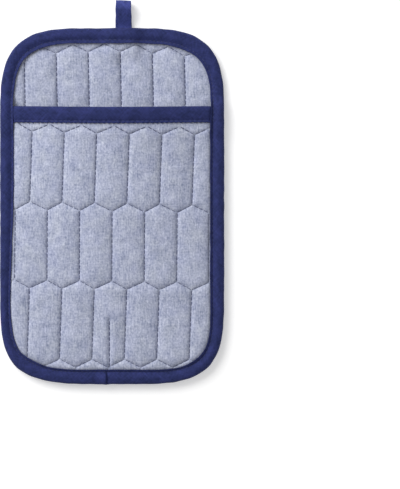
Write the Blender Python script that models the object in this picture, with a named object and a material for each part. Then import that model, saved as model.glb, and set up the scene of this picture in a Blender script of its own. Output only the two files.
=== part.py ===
"""A quilted pot holder with a hand pocket, lying on its back with its front up.

+X is the right of the front, +Y points to the hanging loop and +Z is up. The origin is on the
surface that it lies on, under the middle of the whole length, the loop included.

Its layers, from the surface up, are the grip cloth of the back, the quilted body panel and the
quilted pocket panel, whose mouth gapes. A folded tape binds the pocket's mouth, and another binds
the edge of all the layers. The hanging loop is a tape too, sewn under the top edge.

Functions of x and y below work in the body's own frame, whose origin is the body's centre.
"""

import math
from collections import namedtuple

import bpy
import numpy as np
from mathutils.geometry import delaunay_2d_cdt

MM = 0.001
GAP = 0.3 * MM  # between each two pieces that lie on each other

# Outline: straight sides and long, rather square corners, |x|^n + |y|^n = 1
BODY_WIDTH = 160 * MM
BODY_HEIGHT = 254.8 * MM
CORNER = 68 * MM
CORNER_POWER = 3.56
LOOP_REACH = 19.8 * MM

# Thickness of each layer where the edge binding grips it, and in the open
BACK_GRIPPED, BACK_OPEN = 1.0 * MM, 1.4 * MM
BODY_GRIPPED, BODY_OPEN = 1.6 * MM, 4.1 * MM
POCKET_GRIPPED, POCKET_OPEN = 1.6 * MM, 4.0 * MM
BACK_RUN = 4 * MM  # over which the layers below swell to their full thickness
FACE_RUN = 7.5 * MM  # the same for the quilted faces

# Edge binding: a tape folded round the edge, narrower along the lower left
TAPE = 1.0 * MM
FOLD = 1.5 * MM  # thickness of the fold at the outer edge
END_WIDTH = 11.0 * MM
SIDE_WIDTH = 10.0 * MM
NARROWING = 2.4 * MM
NARROWEST_Y = -72 * MM
NARROW_SPREAD = 55 * MM
BINDING_CREST = 0.5 * MM  # rise of its padded middle
BINDING_GROOVE = 0.3 * MM  # fall along its stitch line

# Pocket mouth and its binding
MOUTH_TOP = 71.4 * MM
MOUTH_TAPE_WIDTH = 12.1 * MM
MOUTH_TAPE_GRIPPED, MOUTH_TAPE_OPEN = 0.6 * MM, 0.9 * MM
MOUTH_FOLD = 1.0 * MM
MOUTH_PANEL_GRIPPED, MOUTH_PANEL_OPEN = 1.0 * MM, 2.2 * MM
MOUTH_PULL = 1.0 * MM  # the raised middle of the mouth draws back by this much
MOUTH_ROW = 57.8 * MM  # from here up the pocket panel is pressed flat by its binding

# The gape of the pocket: an arch across, which dies away towards the bottom
GAPE = 8.6 * MM
GAPE_HALF_WIDTH = 68 * MM
GAPE_END_Y = -112 * MM
GAPE_ACROSS_POWER = 1.5
GAPE_DOWN_POWER = 1.25

# Quilting: rows of zigzags joined by upright seams
QUILT_RISE = 5.2 * MM  # from a zigzag's valley to its peak
QUILT_DEPTH = 1.9 * MM
QUILT_SOFTNESS = 3.2 * MM
CELLS_EACH_SIDE = 5
FREE_END = 60 * MM  # upright seams run on past the first and last zigzag
QuiltRow = namedtuple("QuiltRow", "y valley_x slope bow")
POCKET_PITCH = 23.1 * MM
POCKET_ROWS = (
    QuiltRow(y=54.9 * MM, valley_x=-10.3 * MM, slope=-0.020, bow=0.0),
    QuiltRow(y=-0.7 * MM, valley_x=0.4 * MM, slope=-0.020, bow=0.0),
    QuiltRow(y=-56.1 * MM, valley_x=-12.2 * MM, slope=-0.011, bow=0.0),
    QuiltRow(y=-112.2 * MM, valley_x=-2.8 * MM, slope=0.0, bow=0.0),
)
BODY_PITCH = 22.5 * MM
BODY_ROWS = (
    QuiltRow(y=113.3 * MM, valley_x=5.8 * MM, slope=-0.012, bow=0.9),
    QuiltRow(y=57.6 * MM, valley_x=-5.2 * MM, slope=-0.012, bow=0.0),
    QuiltRow(y=1.9 * MM, valley_x=6.0 * MM, slope=-0.012, bow=0.0),
    QuiltRow(y=-53.8 * MM, valley_x=-5.2 * MM, slope=-0.012, bow=0.0),
    QuiltRow(y=-109.5 * MM, valley_x=6.0 * MM, slope=0.0, bow=0.0),
)

# The dart, a stitched upright tuck at the pocket's bottom
DART_X = -1.75 * MM
DART_TOP_Y, DART_BOTTOM_Y = -81.8 * MM, -114.7 * MM
DART_DEPTH = 2.3 * MM
DART_SOFTNESS = 2.4 * MM
DART = np.array([[(DART_X, DART_TOP_Y), (DART_X, DART_BOTTOM_Y)]])

# Hanging loop: a tape doubled into two legs, one on the other, with a drop-shaped eye
LOOP_X = 8.1 * MM
LOOP_WIDTH, LOOP_END_WIDTH = 11.6 * MM, 10.7 * MM
LOOP_TAPE = 1.1 * MM
LEGS_END_Y = BODY_HEIGHT / 2 - END_WIDTH - 2.0 * MM  # they end just past the binding
LOOP_HEAD = 4.3 * MM  # radius of the middle of the tape at the eye's round end
LOOP_SKEW = 0.05  # its left side reaches a little further out than its right
LOOP_EDGE = 0.4 * MM

# The stack rises over the loop's legs, and falls back to the surface round them
LEGS_RISE = 2 * LOOP_TAPE + 2 * GAP
LEGS_MARGIN = 0.6 * MM
LEGS_RUN_X = 9.6 * MM
LEGS_RUN_Y = 13.6 * MM

# Places round the outline at which every ring of points stands
TOP_X = np.array([-45, -36, -27, -18, -8, -4, -1, 1.7, 8.1, 14.5, 17.2, 20.2, 24.1, 30, 37, 45]) * MM
SIDE_Y = np.array(
    [96, 88, 82, 77, 72, 65, 58, 54, 50, 46, 36, 24, 12, 0, -12, -24, -36, -48, -60, -71, -81, -90]
) * MM
BOTTOM_X = np.array([45, 35, 25, 15, 5, -5, -15, -25, -35, -45]) * MM
CORNER_STEPS = 6
MOUTH_X = np.array([0, 9, 18, 27, 36, 45, 54, 61.9, 64.4, 66.9, 69.4, 74]) * MM

# How closely the faces are divided
SEAM_STEP = 5.6 * MM
HIDDEN_STEP = 13 * MM  # inside the pocket
HIDDEN_BELOW_Y = 30 * MM
SEAM_SHOULDER = 2.7 * MM  # a row of points on each side of a seam
SHOULDER_CLEAR, BETWEEN_CLEAR = 2.2 * MM, 5.1 * MM  # from every other seam
FACE_STEP = 6.6 * MM
PLAIN_STEP = 13 * MM
SAME_PLACE = 0.01 * MM

Finish = namedtuple("Finish", "color roughness")
CHAMBRAY = Finish(color=(0.38, 0.41, 0.55), roughness=0.9)
NAVY_TAPE = Finish(color=(0.033, 0.040, 0.120), roughness=0.8)
GRIP_CLOTH = Finish(color=(0.030, 0.036, 0.095), roughness=0.75)


def smooth(start, end, value):
    """0 up to start, 1 from end on, and an even S between them."""
    share = np.clip((value - start) / (end - start), 0.0, 1.0)
    return share * share * (3 - 2 * share)


# ---------------------------------------------------------------- outline


def corner_point(across):
    """The other coordinate of the unit corner curve, for this one."""
    return (1 - across**CORNER_POWER) ** (1 / CORNER_POWER)


def inset_at(x, y):
    """How far inside the outline a point is, measured along its ray from the corner's centre."""
    past_x = np.maximum(np.abs(x) - (BODY_WIDTH / 2 - CORNER), 0)
    past_y = np.maximum(np.abs(y) - (BODY_HEIGHT / 2 - CORNER), 0)
    return CORNER - (past_x**CORNER_POWER + past_y**CORNER_POWER) ** (1 / CORNER_POWER)


def ray(x_side, y_side, angle):
    """A place on a corner: the ray's start, and its direction scaled to the unit corner curve."""
    cosine, sine = math.cos(angle), math.sin(angle)
    scale = (cosine**CORNER_POWER + sine**CORNER_POWER) ** (-1 / CORNER_POWER)
    start = (x_side * (BODY_WIDTH / 2 - CORNER), y_side * (BODY_HEIGHT / 2 - CORNER))
    return (*start, x_side * cosine * scale, y_side * sine * scale)


def side_ray(x_side, y):
    past = abs(y) - (BODY_HEIGHT / 2 - CORNER)
    if past <= 0:
        return (x_side * (BODY_WIDTH / 2 - CORNER), y, x_side, 0)
    across = past / CORNER
    return ray(x_side, math.copysign(1, y), math.atan2(across, corner_point(across)))


def end_ray(y_side, x):
    past = abs(x) - (BODY_WIDTH / 2 - CORNER)
    if past <= 0:
        return (x, y_side * (BODY_HEIGHT / 2 - CORNER), 0, y_side)
    across = past / CORNER
    return ray(math.copysign(1, x), y_side, math.atan2(corner_point(across), across))


def corner_rays(first, last):
    """The rays between two others on one corner, at even angles."""
    angles = [math.atan2(abs(r[3]), abs(r[2])) for r in (first, last)]
    x_side, y_side = math.copysign(1, first[2]), math.copysign(1, first[3])
    inner = np.linspace(*angles, CORNER_STEPS + 1)[1:-1]
    return [ray(x_side, y_side, angle) for angle in inner]


def outline_rays():
    """Every place round the outline, anticlockwise from the top right corner."""
    runs = (
        [end_ray(1, x) for x in TOP_X[::-1]],
        [side_ray(-1, y) for y in SIDE_Y],
        [end_ray(-1, x) for x in BOTTOM_X[::-1]],
        [side_ray(1, y) for y in SIDE_Y[::-1]],
    )
    rays = []
    for run, following in zip(runs, runs[1:] + runs[:1]):
        rays += run + corner_rays(run[-1], following[0])
    return np.array(rays)


RAYS = outline_rays()


def ring(inset):
    """The outline moved inwards, by one inset or by one for each place."""
    reach = (CORNER - np.broadcast_to(inset, len(RAYS)))[:, None]
    return RAYS[:, :2] + reach * RAYS[:, 2:]


def binding_width(x, y):
    """Wider at the ends than at the sides, and narrowest at the lower left."""
    beside = smooth(-15 * MM, 15 * MM, (np.abs(x) - BODY_WIDTH / 2) - (np.abs(y) - BODY_HEIGHT / 2))
    loss = np.where(x < 0, NARROWING, 0) * np.exp(-(((y - NARROWEST_Y) / NARROW_SPREAD) ** 2))
    return END_WIDTH + beside * (SIDE_WIDTH - END_WIDTH - loss)


RING_WIDTH = binding_width(*ring(0).T)
PANEL_INSET = FOLD + GAP
FREE_INSET = 0.6 * MM  # the layers start to swell this far inside the binding
FREE_RING = RING_WIDTH + FREE_INSET


# ---------------------------------------------------------------- heights


def swell(x, y, run):
    """0 where the binding grips the layers, 1 in the open."""
    return smooth(0, run, inset_at(x, y) - binding_width(x, y) - FREE_INSET)


def legs_rise(x, y):
    """How much the loop's legs hold the layers off the surface."""
    half = LOOP_WIDTH / 2 + LEGS_MARGIN
    beside = smooth(half, half + LEGS_RUN_X, np.abs(x - LOOP_X))
    below = smooth(LEGS_END_Y - LEGS_RUN_Y, LEGS_END_Y - LEGS_MARGIN, y)
    return LEGS_RISE * (1 - beside) * below


def back_bottom(x, y):
    return legs_rise(x, y) + (TAPE + GAP) * (1 - swell(x, y, BACK_RUN))


def back_top(x, y):
    thickness = BACK_GRIPPED + (BACK_OPEN - BACK_GRIPPED) * swell(x, y, BACK_RUN)
    return back_bottom(x, y) + thickness


def body_bottom(x, y):
    return back_top(x, y) + GAP


BODY_EDGE_TOP = TAPE + GAP + BACK_GRIPPED + GAP + BODY_GRIPPED
BODY_CREST = BACK_OPEN + GAP + BODY_OPEN


def body_crest(x, y):
    """The body panel's top without its seams."""
    return legs_rise(x, y) + BODY_EDGE_TOP + (BODY_CREST - BODY_EDGE_TOP) * swell(x, y, FACE_RUN)


def mouth_share(y):
    """1 where the mouth's binding needs room between the layers, 0 well below it."""
    return smooth(46 * MM, MOUTH_ROW, y)


def pressed_share(y):
    """1 where the mouth's binding presses the pocket panel, 0 just below it."""
    return smooth(53 * MM, MOUTH_ROW, y)


def gape_across(x):
    return np.maximum(1 - (x / GAPE_HALF_WIDTH) ** 2, 0) ** GAPE_ACROSS_POWER


def gape(x, y):
    down = np.clip((y - GAPE_END_Y) / (MOUTH_TOP - GAPE_END_Y), 0, 1.2) ** GAPE_DOWN_POWER
    return GAPE * gape_across(x) * down


def pocket_bottom(x, y):
    free = swell(x, y, FACE_RUN)
    tape = mouth_share(y) * (GAP + MOUTH_TAPE_GRIPPED + free * (MOUTH_TAPE_OPEN - MOUTH_TAPE_GRIPPED))
    spare = 0.05 * MM * free
    return body_crest(x, y) + GAP + tape + spare + gape(x, y)


def pocket_crest(x, y):
    """The pocket panel's top without its seams."""
    free = swell(x, y, FACE_RUN)
    pressed = pressed_share(y)
    gripped = POCKET_GRIPPED + mouth_share(y) * (MOUTH_PANEL_GRIPPED - POCKET_GRIPPED)
    full = POCKET_OPEN + pressed * (MOUTH_PANEL_OPEN - POCKET_OPEN)
    return pocket_bottom(x, y) + gripped + free * (full - gripped)


def channel_top(y):
    """Height of the space inside the edge binding, for what it grips there."""
    pocket = POCKET_GRIPPED + GAP
    crossing = MOUTH_PANEL_GRIPPED + 2 * MOUTH_TAPE_GRIPPED + 3 * GAP
    above = smooth(MOUTH_TOP + 0.6 * MM, MOUTH_TOP + 10.6 * MM, y)
    return BODY_EDGE_TOP + GAP + (1 - above) * (pocket + mouth_share(y) * (crossing - pocket))


# ---------------------------------------------------------------- quilting


def quilt_point(row, pitch, step):
    """Corner number step of a zigzag: a valley where it is even, a peak where it is odd."""
    x = row.valley_x + step * pitch / 2
    height = row.y + row.slope * x - row.bow * x * x
    return (x, height + (step % 2 - 0.5) * QUILT_RISE)


def peak_below(row, pitch, x):
    """The peak of a zigzag that is nearest to x."""
    halves = (x - row.valley_x) / (pitch / 2)
    return quilt_point(row, pitch, 2 * round((halves - 1) / 2) + 1)


def quilt_seams(rows, pitch):
    """Every straight seam, as its two ends: the zigzags, and the uprights between them."""
    steps = range(-2 * CELLS_EACH_SIDE, 2 * CELLS_EACH_SIDE)
    seams = []
    for row, following in zip(rows, rows[1:] + (None,)):
        points = [quilt_point(row, pitch, step) for step in steps]
        seams += list(zip(points, points[1:]))
        for x, y in points[::2]:
            end = peak_below(following, pitch, x) if following else (x, y - FREE_END)
            seams.append(((x, y), end))
    for step in steps:
        x, y = quilt_point(rows[0], pitch, step)
        if step % 2:
            seams.append(((x, y), (x, y + FREE_END)))
    return np.array(seams)


def seam_distance(points, seams):
    """Distance from each point to the nearest seam."""
    start, along = seams[:, 0], seams[:, 1] - seams[:, 0]
    offset = points[:, None] - start
    share = np.clip((offset * along).sum(2) / (along**2).sum(1), 0, 1)
    return np.linalg.norm(offset - share[..., None] * along, axis=2).min(1)


def dart_depth(points):
    """The dart's trough, deeper towards its bottom."""
    down = 0.35 + 0.65 * smooth(DART_TOP_Y, DART_BOTTOM_Y, points[:, 1])
    return DART_DEPTH * down * np.exp(-((seam_distance(points, DART) / DART_SOFTNESS) ** 2))


def quilt_depth(points, seams):
    return QUILT_DEPTH * np.exp(-((seam_distance(points, seams) / QUILT_SOFTNESS) ** 1.4))


# ---------------------------------------------------------------- flat meshes


def pieces_of(seams, keep):
    """Seams cut into short pieces, those that lie where keep says."""
    pieces = []
    for start, end in seams:
        hidden = max(start[1], end[1]) < HIDDEN_BELOW_Y and keep.hidden
        step = HIDDEN_STEP if hidden else SEAM_STEP
        count = math.ceil(np.linalg.norm(end - start) / step)
        points = start + (end - start) * np.linspace(0, 1, count + 1)[:, None]
        inside = keep.test(*points.T)
        pieces += [points[i : i + 2] for i in range(count) if inside[i] and inside[i + 1]]
    return pieces


def shoulders(pieces):
    """Points on both sides of each piece of seam."""
    found = []
    for start, end in pieces:
        along = (end - start) / np.linalg.norm(end - start)
        normal = np.array([-along[1], along[0]]) * SEAM_SHOULDER
        found += [(start + end) / 2 + normal, (start + end) / 2 - normal]
    return np.array(found)


def grid(step):
    """Points over the whole body, in staggered rows."""
    rows = np.arange(-BODY_HEIGHT / 2, BODY_HEIGHT / 2, step * math.sqrt(3) / 2)
    columns = np.arange(-BODY_WIDTH / 2, BODY_WIDTH / 2, step)
    return np.array([(x + step / 2 * (i % 2), y) for i, y in enumerate(rows) for x in columns])


def flat_mesh(outline, lines, points):
    """Triangles that fill the outline and follow every line. Returns their corners and faces."""
    corners = [tuple(p) for p in outline]
    edges = []
    for line in lines:
        first = len(corners)
        corners += [tuple(p) for p in line]
        edges += [(i, i + 1) for i in range(first, len(corners) - 1)]
    corners += [tuple(p) for p in points]
    face = [list(range(len(outline)))]
    found = delaunay_2d_cdt(corners, edges, face, 1, SAME_PLACE)
    return np.array([tuple(p) for p in found[0]]), [tuple(f) for f in found[2]]


Keep = namedtuple("Keep", "test hidden")


def inner_points(points, keep, seams, clear):
    """Those points inside the last ring that are this clear of every seam."""
    x, y = points.T
    inside = inset_at(x, y) > binding_width(x, y) + FREE_INSET + FACE_RUN + SEAM_SHOULDER / 2
    points = points[inside & keep.test(x, y)]
    return points[seam_distance(points, seams) > clear]


def face_mesh(outline, lines, seams, keep):
    """The flat mesh of a quilted face."""
    pieces = pieces_of(seams, keep)
    beside = inner_points(shoulders(pieces), keep, seams, SHOULDER_CLEAR)
    between = inner_points(grid(FACE_STEP), keep, seams, BETWEEN_CLEAR)
    if keep.hidden:
        beside = beside[beside[:, 1] > HIDDEN_BELOW_Y]
        coarse = inner_points(grid(HIDDEN_STEP), keep, seams, BETWEEN_CLEAR)
        coarse = coarse[coarse[:, 1] < HIDDEN_BELOW_Y]
        between = np.concatenate([between[between[:, 1] > HIDDEN_BELOW_Y], coarse])
    return flat_mesh(outline, lines + pieces, np.concatenate([beside, between]))


# ---------------------------------------------------------------- solids


def placed(points):
    """From the body's frame to the part's, whose origin is under the middle with the loop."""
    return points - np.array([0, LOOP_REACH / 2, 0])


def add_object(name, points, faces, finish):
    """One closed piece in its own material."""
    mesh = bpy.data.meshes.new(name)
    mesh.from_pydata(placed(np.asarray(points)).tolist(), [], faces)
    mesh.validate()
    material = bpy.data.materials.new(name)
    material.use_nodes = True
    shader = material.node_tree.nodes["Principled BSDF"]
    shader.inputs["Base Color"].default_value = (*finish.color, 1)
    shader.inputs["Roughness"].default_value = finish.roughness
    shader.inputs["Metallic"].default_value = 0
    mesh.materials.append(material)
    piece = bpy.data.objects.new(name, mesh)
    bpy.context.scene.collection.objects.link(piece)
    return piece


def layer_solid(name, edge_count, top, top_z, bottom, bottom_z, finish, pull=None):
    """A layer between two flat meshes that share their outline, at these heights."""
    (top_xy, top_faces), (bottom_xy, bottom_faces) = top, bottom
    points = np.concatenate([np.column_stack([top_xy, top_z]), np.column_stack([bottom_xy, bottom_z])])
    if pull:
        points[:, 1] -= pull(*points[:, :2].T)
    first = len(top_xy)
    faces = list(top_faces) + [tuple(first + i for i in reversed(f)) for f in bottom_faces]
    for i in range(edge_count):
        following = (i + 1) % edge_count
        faces.append((first + i, first + following, following, i))
    return add_object(name, points, faces, finish)


def lofted(name, sections, finish, closed):
    """A skin through sections of equally many points, closed into a ring or capped at its ends."""
    count, size = sections.shape[:2]
    faces = []
    for i in range(count if closed else count - 1):
        here, following = i * size, (i + 1) % count * size
        for j in range(size):
            after = (j + 1) % size
            faces.append((here + j, following + j, following + after, here + after))
    if not closed:
        faces.append(tuple(range(size)))
        faces.append(tuple(reversed(range((count - 1) * size, count * size))))
    return add_object(name, sections.reshape(-1, 3), faces, finish)


def closed_line(points):
    return np.concatenate([points, points[:1]])


def legs_patch():
    """Lines across the patch that the loop's legs hold up, and down the slope beyond their end."""
    half = LOOP_WIDTH / 2 + LEGS_MARGIN
    end = LEGS_END_Y - LEGS_MARGIN
    slope = np.linspace(half, half + LEGS_RUN_X, 4)
    x = LOOP_X + np.concatenate([-slope[::-1], [0], slope])
    heights = end - np.array([0, 0.3, 0.6, 0.95]) * LEGS_RUN_Y
    return [np.column_stack([x, np.full(len(x), y)]) for y in heights]


def back_panel():
    """The grip cloth. Returns the outline and flat mesh that the body panel's underside shares."""
    outline = ring(PANEL_INSET)
    fill = grid(PLAIN_STEP)
    x, y = fill.T
    fill = fill[inset_at(x, y) > binding_width(x, y) + FREE_INSET + BACK_RUN * 2]
    lines = [closed_line(ring(FREE_RING + share * BACK_RUN)) for share in (0, 0.5, 1)]
    plain = flat_mesh(outline, lines + legs_patch(), fill)
    xy = plain[0].T
    layer_solid("back_panel", len(outline), plain, back_top(*xy), plain, back_bottom(*xy), GRIP_CLOTH)
    return outline, plain


def face_lines(count=3):
    """Rings on which a face swells from its gripped edge to its full height."""
    return [ring(FREE_RING + FACE_RUN * i / count) for i in range(count + 1)]


def is_free(x, y):
    """Whether a point lies inside the edge binding's grip."""
    return inset_at(x, y) > binding_width(x, y) + FREE_INSET


def body_panel(outline, plain):
    """The quilted panel that reaches from edge to edge."""
    seams = quilt_seams(BODY_ROWS, BODY_PITCH)

    lines = [closed_line(line) for line in face_lines()]
    face = face_mesh(outline, lines, seams, Keep(is_free, True))
    x, y = face[0].T
    top = body_crest(x, y) - swell(x, y, FACE_RUN) * quilt_depth(face[0], seams)
    layer_solid(
        "body_panel", len(outline), face, top, plain, body_bottom(*plain[0].T), CHAMBRAY
    )


def pull_back(x, y):
    """The raised middle of the mouth is drawn towards the bottom."""
    return MOUTH_PULL * gape_across(x) * smooth(0, MOUTH_ROW, y)


def mouth_line(y, widest):
    """Places across the pocket at one height, from right to left."""
    right = np.append(MOUTH_X[MOUTH_X < widest - SAME_PLACE], widest)
    x = np.concatenate([right[::-1], -right[1:]])
    return np.column_stack([x, np.full(len(x), y)])


def below_mouth(points):
    """The stretch of a ring below the mouth's pressed part, from left to right."""
    kept = points[:, 1] < MOUTH_ROW - MM
    first = np.flatnonzero(kept & ~np.roll(kept, 1))[0]
    return np.roll(points, -first, axis=0)[: kept.sum()]


def pocket_panel():
    """The quilted panel in front, pressed flat where the mouth's tape holds it."""
    seams = quilt_seams(POCKET_ROWS, POCKET_PITCH)
    panel_top = MOUTH_TOP - MOUTH_FOLD - GAP
    half = BODY_WIDTH / 2 - PANEL_INSET
    row = mouth_line(MOUTH_ROW, half)
    sides_and_bottom = below_mouth(ring(PANEL_INSET))
    outline = np.concatenate([mouth_line(panel_top, half), row[-1:], sides_and_bottom, row[:1]])
    lines = [below_mouth(line) for line in face_lines()] + [row]

    def below_row(x, y):
        return is_free(x, y) & (y < MOUTH_ROW)

    face = face_mesh(outline, lines, np.concatenate([seams, DART]), Keep(below_row, False))
    x, y = face[0].T
    relief = swell(x, y, FACE_RUN) * (1 - pressed_share(y)) * quilt_depth(face[0], seams)
    relief = np.maximum(relief, swell(x, y, FACE_RUN) * dart_depth(face[0]))
    plain_points = grid(PLAIN_STEP)
    x, y = plain_points.T
    inside = (inset_at(x, y) > binding_width(x, y) + FREE_INSET + FACE_RUN * 1.3) & (y < MOUTH_ROW - 4 * MM)
    plain = flat_mesh(outline, lines, plain_points[inside])
    layer_solid(
        "pocket_panel",
        len(outline),
        face,
        pocket_crest(*face[0].T) - relief,
        plain,
        pocket_bottom(*plain[0].T),
        CHAMBRAY,
        pull_back,
    )


def mouth_section(x):
    """The folded tape round the pocket panel's top edge, at one place across."""
    free = float(swell(x, MOUTH_TOP, FACE_RUN))
    tape = MOUTH_TAPE_GRIPPED + free * (MOUTH_TAPE_OPEN - MOUTH_TAPE_GRIPPED)
    low = MOUTH_TOP - MOUTH_TAPE_WIDTH
    middle = MOUTH_TOP - MOUTH_TAPE_WIDTH / 2
    inner = MOUTH_TOP - MOUTH_FOLD

    def over(y):
        return float(pocket_crest(x, min(y, inner))) + GAP

    def under(y):
        return float(pocket_bottom(x, min(y, inner))) - GAP

    round_in = 1.4 * MM
    profile = [
        (low, over(low) + 0.5 * tape),
        (low + 0.6 * MM, over(low) + tape),
        (middle, over(middle) + tape + 0.25 * MM * free),
        (MOUTH_TOP - round_in, over(inner) + tape),
        (MOUTH_TOP - 0.3 * round_in, over(inner) + 0.5 * tape),
        (MOUTH_TOP, (over(inner) + under(inner)) / 2),
        (MOUTH_TOP - 0.3 * round_in, under(inner) - 0.5 * tape),
        (MOUTH_TOP - round_in, under(inner) - tape),
        (middle, under(middle) - tape),
        (low, under(low) - tape),
        (low, under(low)),
        (inner, under(inner)),
        (inner, over(inner)),
        (low, over(low)),
    ]
    return [(x, y - float(pull_back(x, y)), z) for y, z in profile]


def pocket_band():
    places = mouth_line(MOUTH_TOP, BODY_WIDTH / 2 - PANEL_INSET - 0.4 * MM)[::-1, 0]
    sections = np.array([mouth_section(float(x)) for x in places])
    lofted("pocket_band", sections, NAVY_TAPE, closed=False)


def binding_profile(width, high):
    """The folded tape's section as insets and heights, for a channel that is this high inside."""
    top = high + TAPE
    return [
        (width, 0),
        (2.6 * MM, 0),
        (0.8 * MM, 0.9 * MM),
        (0, top / 2),
        (0.7 * MM, top - 1.1 * MM),
        (2.3 * MM, top + 0.2 * MM),
        (0.45 * width, top + BINDING_CREST),
        (0.80 * width, top - BINDING_GROOVE),
        (width - 0.9 * MM, top),
        (width, high + 0.5 * TAPE),
        (width, high),
        (FOLD, high),
        (FOLD, TAPE),
        (width, TAPE),
    ]


def edge_binding():
    sections = []
    for place, width, y in zip(RAYS, RING_WIDTH, ring(0)[:, 1]):
        inset, height = np.array(binding_profile(width, float(channel_top(y)))).T
        xy = place[:2] + (CORNER - inset)[:, None] * place[2:]
        sections.append(np.column_stack([xy, height + legs_rise(*xy.T)]))
    lofted("edge_binding", np.array(sections), NAVY_TAPE, closed=True)


def loop_path():
    """The middle of the loop's tape, in y and z, from the end of the lower leg to that of the upper."""
    head_y = BODY_HEIGHT / 2 + LOOP_REACH - LOOP_TAPE / 2 - LOOP_HEAD
    lower = LOOP_TAPE / 2
    upper = lower + LOOP_TAPE + GAP
    turn = np.radians(np.linspace(-90, 90, 11))
    head = np.column_stack([head_y + LOOP_HEAD * np.cos(turn), lower + LOOP_HEAD * (1 + np.sin(turn))])
    rise_y = BODY_HEIGHT / 2 + 0.8 * MM
    y = np.linspace(head_y, rise_y, 8)[1:]
    back = np.column_stack([y, upper + (head[-1, 1] - upper) * smooth(rise_y, head_y, y)])
    legs = [(LEGS_END_Y, lower), (BODY_HEIGHT / 2, lower), ((BODY_HEIGHT / 2 + head_y) / 2, lower)]
    return np.concatenate([legs, head, back, [(LEGS_END_Y, upper)]])


def hanging_loop():
    path = loop_path()
    along = np.gradient(path, axis=0)
    along /= np.linalg.norm(along, axis=1)[:, None]
    normal = np.column_stack([along[:, 1], -along[:, 0]])
    out = smooth(BODY_HEIGHT / 2, BODY_HEIGHT / 2 + LOOP_REACH, path[:, 0])
    half = (LOOP_WIDTH + (LOOP_END_WIDTH - LOOP_WIDTH) * out) / 2
    section = ((-1, 0, 0), (-1, 1, 1), (1, 1, 1), (1, 0, 0), (1, -1, 1), (-1, -1, 1))
    sections = []
    for (y, z), (ny, nz), reach, share in zip(path, normal, half, out):
        points = []
        for side, face, inner in section:
            x = side * (reach - inner * LOOP_EDGE)
            offset = face * LOOP_TAPE / 2
            skewed = y + ny * offset - LOOP_SKEW * x * share
            points.append((LOOP_X + x, skewed, z + nz * offset))
        sections.append(points)
    lofted("hanging_loop", np.array(sections), NAVY_TAPE, closed=False)


def clear_scene():
    for old in list(bpy.data.objects):
        bpy.data.objects.remove(old)


def main():
    clear_scene()
    outline, plain = back_panel()
    body_panel(outline, plain)
    pocket_panel()
    pocket_band()
    edge_binding()
    hanging_loop()


main()
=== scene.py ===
import math
from collections import namedtuple
from functools import partialmethod

import bpy
import numpy as np
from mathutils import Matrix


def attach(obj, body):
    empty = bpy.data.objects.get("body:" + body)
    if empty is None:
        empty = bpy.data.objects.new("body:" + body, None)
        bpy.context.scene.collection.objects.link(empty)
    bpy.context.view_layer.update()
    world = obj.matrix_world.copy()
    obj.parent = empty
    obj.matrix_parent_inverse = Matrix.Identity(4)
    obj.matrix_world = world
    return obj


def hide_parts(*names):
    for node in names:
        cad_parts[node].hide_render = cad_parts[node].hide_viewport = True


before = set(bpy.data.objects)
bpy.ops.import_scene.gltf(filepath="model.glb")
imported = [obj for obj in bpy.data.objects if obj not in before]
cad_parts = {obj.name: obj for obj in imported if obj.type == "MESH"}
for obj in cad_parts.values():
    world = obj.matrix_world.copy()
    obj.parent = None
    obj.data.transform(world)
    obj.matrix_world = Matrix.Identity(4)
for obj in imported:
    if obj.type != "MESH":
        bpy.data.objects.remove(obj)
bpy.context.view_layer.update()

# The looks of a quilted pot holder with a hand pocket, lying on its back with its front up.
# Metres throughout. Functions of x and y work in the body's own frame, whose origin is the
# body's centre: +X is the right of the front, +Y points to the hanging loop and +Z is up.

MM = 0.001
GAP = 0.3 * MM  # between each two pieces that lie on each other

# ---------------------------------------------------------------- sizes

# Outline: straight sides and long, rather square corners, |x|^n + |y|^n = 1
BODY_WIDTH = 160 * MM
BODY_HEIGHT = 254.8 * MM
HALF_WIDTH, HALF_HEIGHT = BODY_WIDTH / 2, BODY_HEIGHT / 2
CORNER = 68 * MM
CORNER_POWER = 3.56
STRAIGHT_X, STRAIGHT_Y = HALF_WIDTH - CORNER, HALF_HEIGHT - CORNER  # the corners' centres
LOOP_REACH = 19.8 * MM

# Thickness of each layer where the edge binding grips it, and in the open
BACK_GRIPPED, BACK_OPEN = 1.0 * MM, 1.4 * MM
BODY_GRIPPED, BODY_OPEN = 1.6 * MM, 4.1 * MM
POCKET_GRIPPED, POCKET_OPEN = 1.6 * MM, 4.0 * MM
BACK_RUN = 4 * MM
FACE_RUN = 2.1 * MM  # beyond the binding's stitch line
FACE_POWER = 1.15

# Edge binding: a tape folded round the edge, narrower along the lower left
TAPE = 1.0 * MM
FOLD = 1.5 * MM
END_WIDTH = 11.0 * MM
SIDE_WIDTH = 10.0 * MM
NARROWING = 2.4 * MM
NARROWEST_Y = -72 * MM
NARROW_SPREAD = 55 * MM
JOIN_X = -3.9 * MM  # the tape's ends meet here, at the bottom
Pinch = namedtuple("Pinch", "x y loss")
PINCHES = (  # round the corners the tape is drawn tighter
    Pinch(x=67 * MM, y=-113 * MM, loss=1.9 * MM),
    Pinch(x=-58 * MM, y=-119 * MM, loss=0.8 * MM),
    Pinch(x=-62 * MM, y=115 * MM, loss=0.7 * MM),
    Pinch(x=-80 * MM, y=87 * MM, loss=0.6 * MM),
    Pinch(x=80 * MM, y=90 * MM, loss=0.7 * MM),
)
PINCH_SPREAD = 30 * MM
FLANGE, FLANGE_LEFT, FLANGE_TOP = 1.8 * MM, 1.4 * MM, 2.3 * MM  # inside the stitch line

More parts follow.
